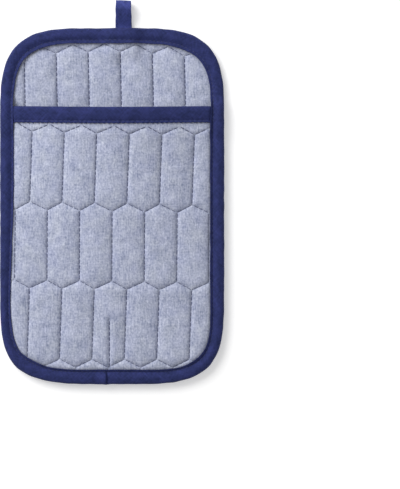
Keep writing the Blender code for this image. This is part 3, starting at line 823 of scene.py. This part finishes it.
def panel_fullness(rows, pitch, ends, seams, held_above):
    """A panel's fine grid, and the fullness of its puffs there."""
    grid = quilt_grid(rows, pitch, *ends, FINE)
    coarse = quilt_grid(rows, pitch, *ends, COARSE)
    return grid, simulated_fullness(grid, coarse, seams, held_above)


# ---------------------------------------------------------------- meshes


def bottom_lift(x, y):
    """How far the bottom edge is drawn up, a little more at its left."""
    at_left = bell(np.hypot(x + 52 * MM, y + 125 * MM), 22 * MM)
    return 0.5 * MM * smooth(-112 * MM, -124 * MM, y) + 0.6 * MM * at_left


def add_piece(name, points, faces, material, nodes=(), corner_uv=None):
    """A piece of the pot holder: its mesh, finish, and place in the frame."""
    mesh = bpy.data.meshes.new(name)
    moved = np.array(points)
    moved[:, 1] += bottom_lift(*moved[:, :2].T) - LOOP_REACH / 2
    mesh.from_pydata(moved.tolist(), [], faces)
    if corner_uv is not None:
        layer = mesh.uv_layers.new(name="cloth")
        layer.data.foreach_set("uv", (corner_uv / UV_UNIT).astype(np.float32).ravel())
    mesh.shade_smooth()
    mesh.materials.append(material)
    piece = bpy.data.objects.new(name, mesh)
    bpy.context.scene.collection.objects.link(piece)
    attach(piece, "root")
    if nodes:
        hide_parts(*nodes)
    return piece


def grid_quads(inside):
    """A grid's cells that have a corner inside, each as its four point numbers."""
    index = np.arange(inside.size).reshape(inside.shape)
    quads = np.stack([index[:-1, :-1], index[:-1, 1:], index[1:, 1:], index[1:, :-1]], -1)
    quads = quads.reshape(-1, 4)
    return quads[inside.ravel()[quads].any(1)]


def layer_mesh(x, y, top, bottom, inside):
    """Points and faces of a closed layer over a grid: two skins, and a wall round them.

    The cells with a corner inside are kept. An edge is on the rim where no cell has its reverse.
    """
    count = x.size
    quads = grid_quads(inside)
    edges = np.concatenate([quads[:, [i, (i + 1) % 4]] for i in range(4)])
    rim = edges[~np.isin(edges @ (count, 1), edges @ (1, count))]
    wall = np.column_stack([rim[:, 1], rim[:, 0], rim[:, 0] + count, rim[:, 1] + count])
    faces = np.concatenate([quads, quads[:, ::-1] + count, wall])
    used, faces = np.unique(faces, return_inverse=True)
    flat = np.column_stack([x.ravel(), y.ravel()])
    points = np.column_stack([np.concatenate([flat, flat]), np.append(top.ravel(), bottom.ravel())])
    return points[used], faces.reshape(-1, 4)


def swept_mesh(sections, along, closed):
    """Points, faces and corner UVs of a skin through sections, each a closed line of points.

    u is the way along, and v the length of the section from its first point, both in metres.
    """
    count, size = sections.shape[:2]
    runs = count if closed else count - 1
    i, j = np.meshgrid(np.arange(runs), np.arange(size), indexing="ij")
    following, after = (i + 1) % count, (j + 1) % size
    corners = [i * size + j, following * size + j, following * size + after, i * size + after]
    steps = np.linalg.norm(np.roll(sections, -1, axis=1) - sections, axis=2).mean(0)
    across = np.concatenate([[0], np.cumsum(steps)])
    u = [along[i], along[i + 1], along[i + 1], along[i]]
    v = [across[j], across[j], across[j + 1], across[j + 1]]
    faces = np.stack(corners, -1).reshape(-1, 4).tolist()
    uv = np.stack([np.stack(u, -1), np.stack(v, -1)], -1).reshape(-1, 2)
    if not closed:
        faces.append(list(range(size)))
        faces.append(list(range(count * size - 1, (count - 1) * size - 1, -1)))
        uv = np.concatenate([uv, np.zeros((2 * size, 2))])
    return sections.reshape(-1, 3), faces, uv


def stitches_mesh(starts, ends, lift, radius):
    """Points and faces of stitches: bars of thread, six-sided, that arch from hole to hole.

    A bar's radius, one for all or one each, follows an ellipse along it, so it dips and thins
    into each hole.
    """
    share = np.array([0, 0.12, 0.35, 0.65, 0.88, 1])
    reach = np.array([0.35, 0.8, 1, 1, 0.8, 0.35]) * np.reshape(radius, (-1, 1))
    along = ends - starts
    along /= np.linalg.norm(along, axis=1)[:, None]
    across = np.cross(along, (0, 0, 1.0))
    across /= np.linalg.norm(across, axis=1)[:, None]
    up = np.cross(across, along)
    middle = starts[:, None] + share[:, None] * (ends - starts)[:, None]
    middle += up[:, None] * (lift * (1 - (2 * share - 1) ** 4))[:, None]
    turn = np.arange(6) * math.tau / 6
    spoke = np.cos(turn)[:, None] * across[:, None, None] + np.sin(turn)[:, None] * up[:, None, None]
    points = middle[:, :, None] + reach[..., None, None] * spoke
    count, rings, sides = points.shape[:3]
    j, k = np.meshgrid(np.arange(rings - 1), np.arange(sides), indexing="ij")
    after = (k + 1) % sides
    bar = np.stack([j * sides + k, (j + 1) * sides + k, (j + 1) * sides + after, j * sides + after], -1)
    first = np.arange(count)[:, None, None] * rings * sides
    faces = (bar.reshape(-1, 4) + first).reshape(-1, 4).tolist()
    cap = np.arange(sides)
    faces += (cap + first[:, 0]).tolist()
    faces += (cap[::-1] + (rings - 1) * sides + first[:, 0]).tolist()
    return points.reshape(-1, 3), faces


# ---------------------------------------------------------------- the quilted panels


def body_panel(finish):
    """The quilted panel that reaches from edge to edge."""
    ends = (HALF_HEIGHT, -HALF_HEIGHT)
    grid, fullness = panel_fullness(BODY_ROWS, BODY_PITCH, ends, BODY_SEAMS, BODY_HEIGHT)
    inside = inset_at(grid.x, grid.y) > PANEL_INSET
    x, y = drawn_in(grid.x, grid.y, PANEL_INSET)
    points, faces = layer_mesh(x, y, body_face(x, y, fullness), body_bottom(x, y), inside)
    piece = add_piece("quilted_body", points, faces.tolist(), finish, ["body_panel"])
    return piece


def pocket_panel(finish):
    """The quilted panel in front, with its top edge in the mouth's tape."""
    ends = (MOUTH_TOP - MOUTH_FOLD - GAP, -HALF_HEIGHT)
    band_low = MOUTH_TOP - MOUTH_TAPE_WIDTH
    grid, fullness = panel_fullness(POCKET_ROWS, POCKET_PITCH, ends, POCKET_SEAMS, band_low)
    inside = inset_at(grid.x, grid.y) > PANEL_INSET
    x, y = drawn_in(grid.x, grid.y, PANEL_INSET)
    face, under = pocket_face(x, y, fullness), pocket_bottom(x, y)
    points, faces = layer_mesh(x, y - pull_back(x, y), face, under, inside)
    piece = add_piece("quilted_pocket", points, faces.tolist(), finish, ["pocket_panel"])
    return piece


def seam_stitches(seams, upright):
    """Starts, ends and radii of the stitches along straight seams, as flat points."""
    starts, ends, radii = [], [], []
    for first, last in seams:
        reach = np.linalg.norm(last - first)
        at = (np.arange(int(reach / STITCH_PITCH)) + 0.5)[:, None] * STITCH_PITCH
        at = at + reach % STITCH_PITCH / 2
        heading = (last - first) / reach
        stitch = upright if abs(heading[1]) > abs(heading[0]) else SLANTED
        starts.append(first + heading * (at - stitch.length / 2))
        ends.append(first + heading * (at + stitch.length / 2))
        radii.append(np.full(len(at), stitch.radius))
    return np.concatenate(starts), np.concatenate(ends), np.concatenate(radii)


def quilting(name, seams, face, shows, pull, finish, upright=UPRIGHT):
    """Stitches in a panel's seams, where they show. Uprights end short of the binding's grip."""
    starts, ends, radii = seam_stitches(seams, upright)
    kept = shows(*starts.T) & shows(*ends.T)
    kept &= (radii == SLANTED.radius) | (free_depth(*starts.T) > 0.4 * MM)
    starts, ends, radii = starts[kept], ends[kept], radii[kept]
    raised = []
    for flat in (starts, ends):
        x, y = flat.T
        raised.append(np.column_stack([x, y - pull(x, y), face(x, y)]))
    points, faces = stitches_mesh(*raised, STITCH_LIFT, radii)
    return add_piece(name, points, faces, finish)


# ---------------------------------------------------------------- the tapes


def side_rays(start, end, count, outward):
    """Rays from places along the line of a straight side, all pointing outward."""
    places = [np.linspace(first, last, count) for first, last in zip(start, end)]
    return np.column_stack([*places, np.full((count, 2), outward)])


def corner_rays(number, x, y):
    """Rays from a corner's centre to its curve, |x|^n + |y|^n = 1, over a quarter turn."""
    turn = np.radians(np.linspace(0, 90, 400)) + math.radians(90 * number - 90)
    cosine, sine = np.cos(turn), np.sin(turn)
    scale = (np.abs(cosine) ** CORNER_POWER + np.abs(sine) ** CORNER_POWER) ** (-1 / CORNER_POWER)
    return np.column_stack([np.full((len(turn), 2), (x, y)), cosine * scale, sine * scale])


def ray_arrays():
    """Rays round the outline, anticlockwise from the join: starts, and ways to the corner curve."""
    x, y = STRAIGHT_X, STRAIGHT_Y
    join = (JOIN_X, -y)
    rays = [side_rays(join, (x, -y), 20, (0, -1)), corner_rays(0, x, -y)]
    rays += [side_rays((x, -y), (x, y), 60, (1, 0)), corner_rays(1, x, y)]
    rays += [side_rays((x, y), (-x, y), 20, (0, 1)), corner_rays(2, -x, y)]
    rays += [side_rays((-x, y), (-x, -y), 60, (-1, 0)), corner_rays(3, -x, -y)]
    rays.append(side_rays((-x, -y), join, 10, (0, -1)))
    return np.concatenate(rays)


RAYS = ray_arrays()
RIM = RAYS[:, :2] + CORNER * RAYS[:, 2:]
RIM_LENGTH = np.append(0, np.cumsum(np.linalg.norm(np.diff(RIM, axis=0), axis=1)))
PERIMETER = RIM_LENGTH[-1]


def rays_at(along):
    """The rays at these lengths round the outline."""
    return np.stack([np.interp(along, RIM_LENGTH, column) for column in RAYS.T], -1)


def on_plane(rays, inset):
    """x and y at these insets, a row of them on each ray."""
    reach = CORNER - inset
    return rays[:, :1] + reach * rays[:, 2:3], rays[:, 1:2] + reach * rays[:, 3:4]


def binding_lines(along):
    """The rays at these lengths round the outline, the binding's inner edge and stitch line on
    them, and where they are above the pocket's mouth."""
    rays = rays_at(along)
    rim_x, rim_y = (rays[:, :2] + CORNER * rays[:, 2:]).T
    width = binding_width(rim_x, rim_y)
    return rays, width, width - flange(rim_x, rim_y), above_mouth(rim_y)


JOIN_LAP = 1.8 * MM
JOIN_STEP = 0.9 * MM


def join_rise(along):
    """The tape's end lies over its start: it rises to the join, drops there, and pulls the start
    in beside it."""
    lap = JOIN_STEP * (1 - smooth(JOIN_LAP, JOIN_LAP + 3 * MM, PERIMETER - along))
    return lap - 1.1 * MM * bell(along, 1.0 * MM)


def join_bulge(along):
    """How far the thicker join pushes the fold outwards, a bell each side of it."""
    return 0.35 * MM * bell(np.minimum(along, PERIMETER - along), 1.9 * MM)


def stitch_wave(along):
    """1 at each of a tape's stitches and -1 between them, a cosine."""
    return np.cos(along * math.tau / BINDING_STITCH_PITCH)


def binding_top(along, inset, width, groove, above):
    """Height of the binding's front over its channel: an arch from its outer edge to its
    stitch line, a soft step with a dimple to every stitch there, and a flange inside it,
    which is pressed thinner over the pocket."""
    share = np.clip(inset / groove, 0, 1)
    arch = 1.60 * MM * np.sin(math.pi * share**1.1) ** 0.9
    stitch = 0.07 * MM * stitch_wave(along) - 0.20 * MM
    beside = inset - groove
    sunk = stitch * bell(beside, 0.9 * MM)
    uneven = ripple(along, inset, 11 * MM, 21) * 0.13 * MM
    pucker = ripple(along, inset * 0.3, 5 * MM, 22) * 0.10 * MM * bell(beside, 2.5 * MM)
    pressed = 0.60 * MM * (1 - above) * smooth(groove, width, inset)
    roll = 0.10 * MM * smooth(width - 0.5 * MM, width, inset)
    arch = arch + join_rise(along) * np.sin(math.pi * share) ** 0.5
    return TAPE + arch - sunk + uneven + pucker - pressed - roll


def binding_section(along):
    """The binding's section at these lengths round the outline, as insets and heights."""
    rays, width, groove, above = (column[:, None] for column in binding_lines(along))
    rays = rays[:, 0]
    width = width + ripple(along, 0 * along, 23 * MM, 31)[:, None] * 0.2 * MM
    column = along[:, None]
    turn_inset = 3.0 * MM

    def high(inset):
        return channel_top(*on_plane(rays, inset))

    over = width + (turn_inset - width) * np.linspace(0, 1, 28)
    over_height = high(over) + binding_top(column, over, width, groove, above)
    crown = over_height[:, -1:]
    turn = np.radians(np.linspace(90, -90, 13))[1:-1]
    bulge = ripple(along, 0 * along, 15 * MM, 33)[:, None] * 0.15 * MM + join_bulge(column)
    edge = turn_inset * (1 - np.cos(turn) ** 0.8) - bulge * np.cos(turn)
    edge_height = crown / 2 + crown / 2 * np.sign(np.sin(turn)) * np.abs(np.sin(turn)) ** 0.9
    under = turn_inset + (width - turn_inset) * np.linspace(0, 1, 12)
    under_height = 0.45 * MM * bell(under - width + BACK_STITCH_INSET, 0.8 * MM)
    fold = FOLD + 0 * width
    inner = [(width, 0.6 * TAPE), (width - 0.2 * MM, TAPE)]
    inner += [(fold, TAPE), (fold - 0.3 * MM, high(fold) / 2), (fold, high(fold))]
    for share in (0, 0.3, 0.6, 0.9):
        at = groove + (width - groove) * share
        inner.append((at, high(at)))
    inner.append((width + 0.1 * MM, high(width) + 0.2 * TAPE))
    insets = [over, edge, under] + [i for i, h in inner]
    heights = [over_height, edge_height, under_height] + [h + 0 * width for i, h in inner]
    return rays, np.concatenate(insets, 1), np.concatenate(heights, 1)


def on_rays(rays, inset, height):
    """Points at these insets and heights, lifted where the loop's legs lie under them."""
    x, y = on_plane(rays, inset)
    return np.stack([x, y, height + legs_rise(x, y)], -1)


def edge_binding(finish):
    """The tape folded round the edge."""
    count = round(PERIMETER / (1.1 * MM))
    along = np.linspace(0, PERIMETER - 0.15 * MM, count)
    sections = on_rays(*binding_section(along))
    points, faces, uv = swept_mesh(sections, np.append(along, PERIMETER), True)
    faces = [face[::-1] for face in faces]
    uv = uv.reshape(-1, 4, 2)[:, ::-1].reshape(-1, 2)
    return add_piece("binding_tape", points, faces, finish, ["edge_binding"], uv)


def binding_stitches(finish):
    """A row of stitches in the binding's groove in front, and one at its inner edge behind."""
    count = int(PERIMETER / BINDING_STITCH_PITCH)
    pitch = PERIMETER / count
    ends = []
    for shift in (-HALF_STITCH, HALF_STITCH):
        along = (np.arange(count) + 0.5 + shift) * pitch
        rays, width, groove, above = binding_lines(along)
        insets = np.stack([groove, width - BACK_STITCH_INSET], -1)
        front = channel_top(*on_plane(rays, insets[:, :1]))[:, 0]
        front = front + binding_top(along, groove, width, groove, above) - TOPSTITCH_SUNK
        heights = np.stack([front, np.full(count, 0.28 * MM)], -1)
        ends.append(on_rays(rays, insets, heights).reshape(-1, 3))
    points, faces = stitches_mesh(*ends, TOPSTITCH_LIFT, TOPSTITCH_RADIUS)
    return add_piece("binding_stitches", points, faces, finish)


def band_low(x):
    """The band's lower edge, which its stitches draw up a little."""
    drawn = 0.45 * MM + 0.25 * MM * stitch_wave(x)
    return MOUTH_TOP - MOUTH_TAPE_WIDTH + drawn


def band_section(x):
    """The mouth's tape at these places across, as y and z: the panel lies in its fold."""
    x = x[:, None]
    free = face_rise(x, MOUTH_TOP + 0 * x)
    tape = tape_thickness(free)
    low = band_low(x)
    inner = MOUTH_TOP - MOUTH_FOLD
    round_in = 1.5 * MM

    def over(y):
        return pocket_crest(x, np.minimum(y, inner)) + GAP

    def under(y):
        return pocket_bottom(x, np.minimum(y, inner)) - GAP

    y = low + (MOUTH_TOP - round_in - low) * np.linspace(0, 1, 24)[None] + 0 * x
    height = over(y) + tape + band_relief(x, y) * free
    crown = height[:, -1:]
    floor = under(inner) - tape
    turn = np.radians(np.linspace(90, -90, 11))[1:-1]
    edge_y = MOUTH_TOP - round_in * (1 - np.cos(turn)) + 0 * x
    edge_z = (crown + floor) / 2 + (crown - floor) / 2 * np.sin(turn)
    back_y = MOUTH_TOP - round_in - (MOUTH_TOP - round_in - low) * np.linspace(0, 1, 8)[None] + 0 * x
    back_z = under(back_y) - tape
    fold = [(low, under(low) - 0.3 * tape), (low, under(low)), (inner, under(inner))]
    fold += [(inner, over(inner)), (low, over(low)), (low - 0.05 * MM, over(low) + 0.4 * tape)]
    ys = [y, edge_y, back_y] + [at + 0 * x for at, z in fold]
    zs = [height, edge_z, back_z] + [z for at, z in fold]
    ys, zs = np.concatenate(ys, 1), np.concatenate(zs, 1)
    return ys - pull_back(x, ys), zs


BAND_GROOVE = 2.0 * MM  # from the band's lower edge


def band_relief(x, y):
    """The band's front: an arch over its upper part, a dimpled groove, and a flange below it."""
    low = band_low(x)
    groove = MOUTH_TOP - MOUTH_TAPE_WIDTH + BAND_GROOVE
    share = np.clip((y - groove) / (MOUTH_TOP - groove), 0, 1)
    arch = 1.0 * MM * np.sin(math.pi * share**1.2) ** 0.9
    stitch = 1 + 0.35 * stitch_wave(x)
    sunk = 0.36 * MM * stitch * bell(y - groove, 0.85 * MM)
    flare = 0.12 * MM * smooth(groove, low + 0.4 * MM, y)
    roll = 0.30 * MM * smooth(low + 0.5 * MM, low, y)
    uneven = ripple(x, y, 10 * MM, 41) * 0.10 * MM
    return arch - sunk + flare - roll + uneven + 0.08 * MM


def pocket_band(finish):
    """The tape folded over the pocket's top edge."""
    reach = HALF_WIDTH - PANEL_INSET - 0.4 * MM
    across = np.linspace(-reach, reach, 231)
    y, z = band_section(across)
    sections = np.stack([across[:, None] + 0 * y, y, z], -1)
    points, faces, uv = swept_mesh(sections, across + reach, False)
    return add_piece("mouth_tape", points, faces, finish, ["pocket_band"], uv)


def band_stitches(finish):
    """A row of stitches in the band's groove."""
    reach = HALF_WIDTH - SIDE_WIDTH - 1 * MM
    count = int(2 * reach / BINDING_STITCH_PITCH)
    y = np.full(count, MOUTH_TOP - MOUTH_TAPE_WIDTH + BAND_GROOVE)
    ends = []
    for shift in (-HALF_STITCH, HALF_STITCH):
        x = (np.arange(count) - count / 2 + 0.5 + shift) * BINDING_STITCH_PITCH
        free = face_rise(x, MOUTH_TOP + 0 * x)
        tape = tape_thickness(free)
        z = pocket_crest(x, y) + GAP + tape + band_relief(x, y) * free - TOPSTITCH_SUNK
        ends.append(np.column_stack([x, y - pull_back(x, y), z]))
    points, faces = stitches_mesh(*ends, TOPSTITCH_LIFT, TOPSTITCH_RADIUS)
    return add_piece("mouth_stitches", points, faces, finish)


# ---------------------------------------------------------------- the hanging loop


def loop_line():
    """The middle of the loop's tape in y and z: along the lower leg, round the eye and back.

    The way back is the straight tangent from the round head to where the legs meet, which it
    reaches in a soft bend, slope * soft * ln(1 + exp(distance / soft)).
    """
    head_y = HALF_HEIGHT + LOOP_REACH - LOOP_TAPE / 2 - LOOP_HEAD
    lower = LOOP_TAPE / 2
    upper = lower + LOOP_TAPE + GAP
    meet_y = HALF_HEIGHT + 1.6 * MM
    rise = math.atan2(lower + LOOP_HEAD - upper, head_y - meet_y)
    rise += math.asin(LOOP_HEAD / math.hypot(lower + LOOP_HEAD - upper, head_y - meet_y))
    turn = np.linspace(-math.pi / 2, math.pi / 2 + rise, 46)
    head = np.column_stack([head_y + LOOP_HEAD * np.cos(turn), lower + LOOP_HEAD * (1 + np.sin(turn))])
    y = np.linspace(head[-1, 0], LEGS_END_Y, 36)[1:]
    soft = 0.9 * MM
    back = np.column_stack([y, upper + math.tan(rise) * soft * np.log1p(np.exp((y - meet_y) / soft))])
    out = np.linspace(LEGS_END_Y, head_y, 26)[:-1]
    return np.concatenate([np.column_stack([out, np.full(len(out), lower)]), head, back])


def hanging_loop(finish):
    """The loop's tape: folded lengthwise, so each edge shows a fold line between two layers."""
    line = loop_line()
    tangent = np.gradient(line, axis=0)
    tangent /= np.linalg.norm(tangent, axis=1)[:, None]
    normal = np.column_stack([tangent[:, 1], -tangent[:, 0]])
    along = np.append(0, np.cumsum(np.linalg.norm(np.diff(line, axis=0), axis=1)))
    out = smooth(HALF_HEIGHT, HALF_HEIGHT + LOOP_REACH, line[:, 0])[:, None]
    half = (LOOP_WIDTH + (LOOP_END_WIDTH - LOOP_WIDTH) * out) / 2
    half = half + ripple(along, 0 * along, 9 * MM, 51)[:, None] * 0.12 * MM
    flat = np.linspace(-1, 1, 17)
    thick = LOOP_TAPE / 2
    crown = 1 - 0.25 * np.abs(flat) ** 6 - 0.22 * bell(np.abs(flat) - 0.72, 0.07)
    side = np.array([1.0, 0.985, 0.965, 0.985, 1.0])
    high = np.array([0.62, 0.42, 0.0, -0.42, -0.62])
    x = np.concatenate([flat * 0.965, side, -flat * 0.965, -side]) * half
    rise = np.concatenate([crown, high, -crown, -high])[None] * thick
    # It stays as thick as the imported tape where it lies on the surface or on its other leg.
    offset = rise * 0.96
    y = line[:, :1] + normal[:, :1] * offset - LOOP_SKEW * x * out
    z = line[:, 1:] + normal[:, 1:] * offset
    sections = np.stack([LOOP_X + x, y, z], -1)
    points, faces, uv = swept_mesh(sections, along, False)
    return add_piece("loop_tape", points, faces, finish, ["hanging_loop"], uv)


LEG_ROWS = np.array([LEGS_END_Y + 1.6 * MM, HALF_HEIGHT - 2.4 * MM])


def leg_stitches(finish):
    """Two rows of stitches across the loop's legs, seen from behind."""
    middle = np.arange(-1, 2) * BINDING_STITCH_PITCH
    x, y = (part.ravel() for part in np.meshgrid(LOOP_X + middle, LEG_ROWS))
    reach = HALF_STITCH * BINDING_STITCH_PITCH
    height = np.full(len(x), 0.12 * MM)
    starts, ends = (np.column_stack([x + side * reach, y, height]) for side in (-1, 1))
    points, faces = stitches_mesh(starts, ends, -0.03 * MM, 0.16 * MM)
    return add_piece("leg_stitches", points, faces, finish)


# ---------------------------------------------------------------- the back


def back_panel(finish):
    """The grip cloth. Its face lies a dot's rise above the surface."""
    step = 2.4 * MM
    across = np.linspace(-HALF_WIDTH, HALF_WIDTH, round(BODY_WIDTH / step) + 1)
    up = np.linspace(-HALF_HEIGHT, HALF_HEIGHT, round(BODY_HEIGHT / step) + 1)
    x, y = np.meshgrid(across, up)
    inside = inset_at(x, y) > PANEL_INSET
    x, y = drawn_in(x, y, PANEL_INSET)
    bottom = back_bottom(x, y) + DOT_RISE * swell(x, y, BACK_RUN)
    points, faces = layer_mesh(x, y, back_top(x, y), bottom, inside)
    return add_piece("grip_cloth", points, faces.tolist(), finish, ["back_panel"])


def back_dots(finish):
    """Oval domes on the grip cloth, in a leaning lattice with a dot at the middle of each cell."""
    reach = 40
    i, j = np.meshgrid(np.arange(-reach, reach + 1), np.arange(-2 * reach, 2 * reach + 1))
    down = j * DOT_DOWN / 2
    across = (i + 0.5 * (j % 2)) * DOT_ACROSS + down * math.tan(DOT_LEAN)
    x, y = across.ravel(), down.ravel()
    kept = (inset_at(x, y) > binding_width(x, y) + 0.9 * MM) & (np.abs(y) < HALF_HEIGHT)
    x, y = x[kept], y[kept]
    legs = (np.abs(x - LOOP_X) < LOOP_WIDTH / 2 + 1.2 * MM) & (y > LEGS_END_Y - 1.2 * MM)
    x, y = x[~legs], y[~legs]
    base = back_bottom(x, y) + DOT_RISE * swell(x, y, BACK_RUN)
    sides = 8
    turn = np.arange(sides) * math.tau / sides
    reach = np.array([1.0, 0.72, 0.0])
    drop = np.array([-0.15 * MM, 0.7 * DOT_RISE, DOT_RISE])
    ring_x = x[:, None, None] + reach[:2, None] * np.cos(turn) * DOT_WIDTH / 2
    ring_y = y[:, None, None] - reach[:2, None] * np.sin(turn) * DOT_HEIGHT / 2
    ring_z = base[:, None, None] - drop[:2, None] + 0 * ring_x
    rings = np.stack([ring_x, ring_y, ring_z], -1).reshape(len(x), -1, 3)
    poles = np.stack([x, y, base - DOT_RISE * 0.98], -1)[:, None]
    points = np.concatenate([rings, poles], 1)
    size = points.shape[1]
    first = (np.arange(len(x)) * size)[:, None, None]
    k = np.arange(sides)
    after = (k + 1) % sides
    wall = np.stack([k, after, sides + after, sides + k], -1)
    tip = np.stack([sides + k, sides + after, np.full(sides, 2 * sides)], -1)
    faces = (wall + first).reshape(-1, 4).tolist() + (tip + first).reshape(-1, 3).tolist()
    faces += (k[::-1] + first[:, 0]).tolist()
    return add_piece("grip_dots", points.reshape(-1, 3), faces, finish)


# ---------------------------------------------------------------- the whole


def is_free(x, y):
    """Whether a stitch there lies outside the edge binding's grip."""
    return free_depth(x, y) > -0.3 * MM


def is_below_band(x, y):
    """Whether it is also below the mouth's tape."""
    return is_free(x, y) & (y < MOUTH_TOP - MOUTH_TAPE_WIDTH - 0.2 * MM)


def not_pulled(x, y):
    """The body panel's mouth isn't drawn down as the pocket's is."""
    return 0 * x


def main():
    add_camera()
    add_studio()
    cotton, navy, knit, rubber = chambray(), navy_tape("navy_tape", 1.0), grip_cloth(), grip_dots()
    # The loop's tape is the binding's navy painted 1.78 times lighter: painted light, not a different
    # cloth.
    loop_navy_painted_light = navy_tape("loop_navy_painted_light", 1.78)
    quilt_thread = thread("quilting_thread", (0.040, 0.047, 0.122))
    navy_thread = thread("navy_thread", (0.030, 0.037, 0.115))
    body_panel(cotton)
    pocket_panel(cotton)
    quilting("body_quilting", BODY_SEAMS, body_face, is_free, not_pulled, quilt_thread, IN_BODY)
    in_pocket = (pocket_face, is_below_band, pull_back, quilt_thread)
    quilting("pocket_quilting", POCKET_SEAMS, *in_pocket)
    quilting("dart_stitches", DART, *in_pocket, IN_DART)
    back = back_panel(knit)
    dots = back_dots(rubber)
    binding = edge_binding(navy)
    edge_sewing = binding_stitches(navy_thread)
    band = pocket_band(navy)
    mouth_sewing = band_stitches(navy_thread)
    loop = hanging_loop(loop_navy_painted_light)
    leg_sewing = leg_stitches(navy_thread)


main()
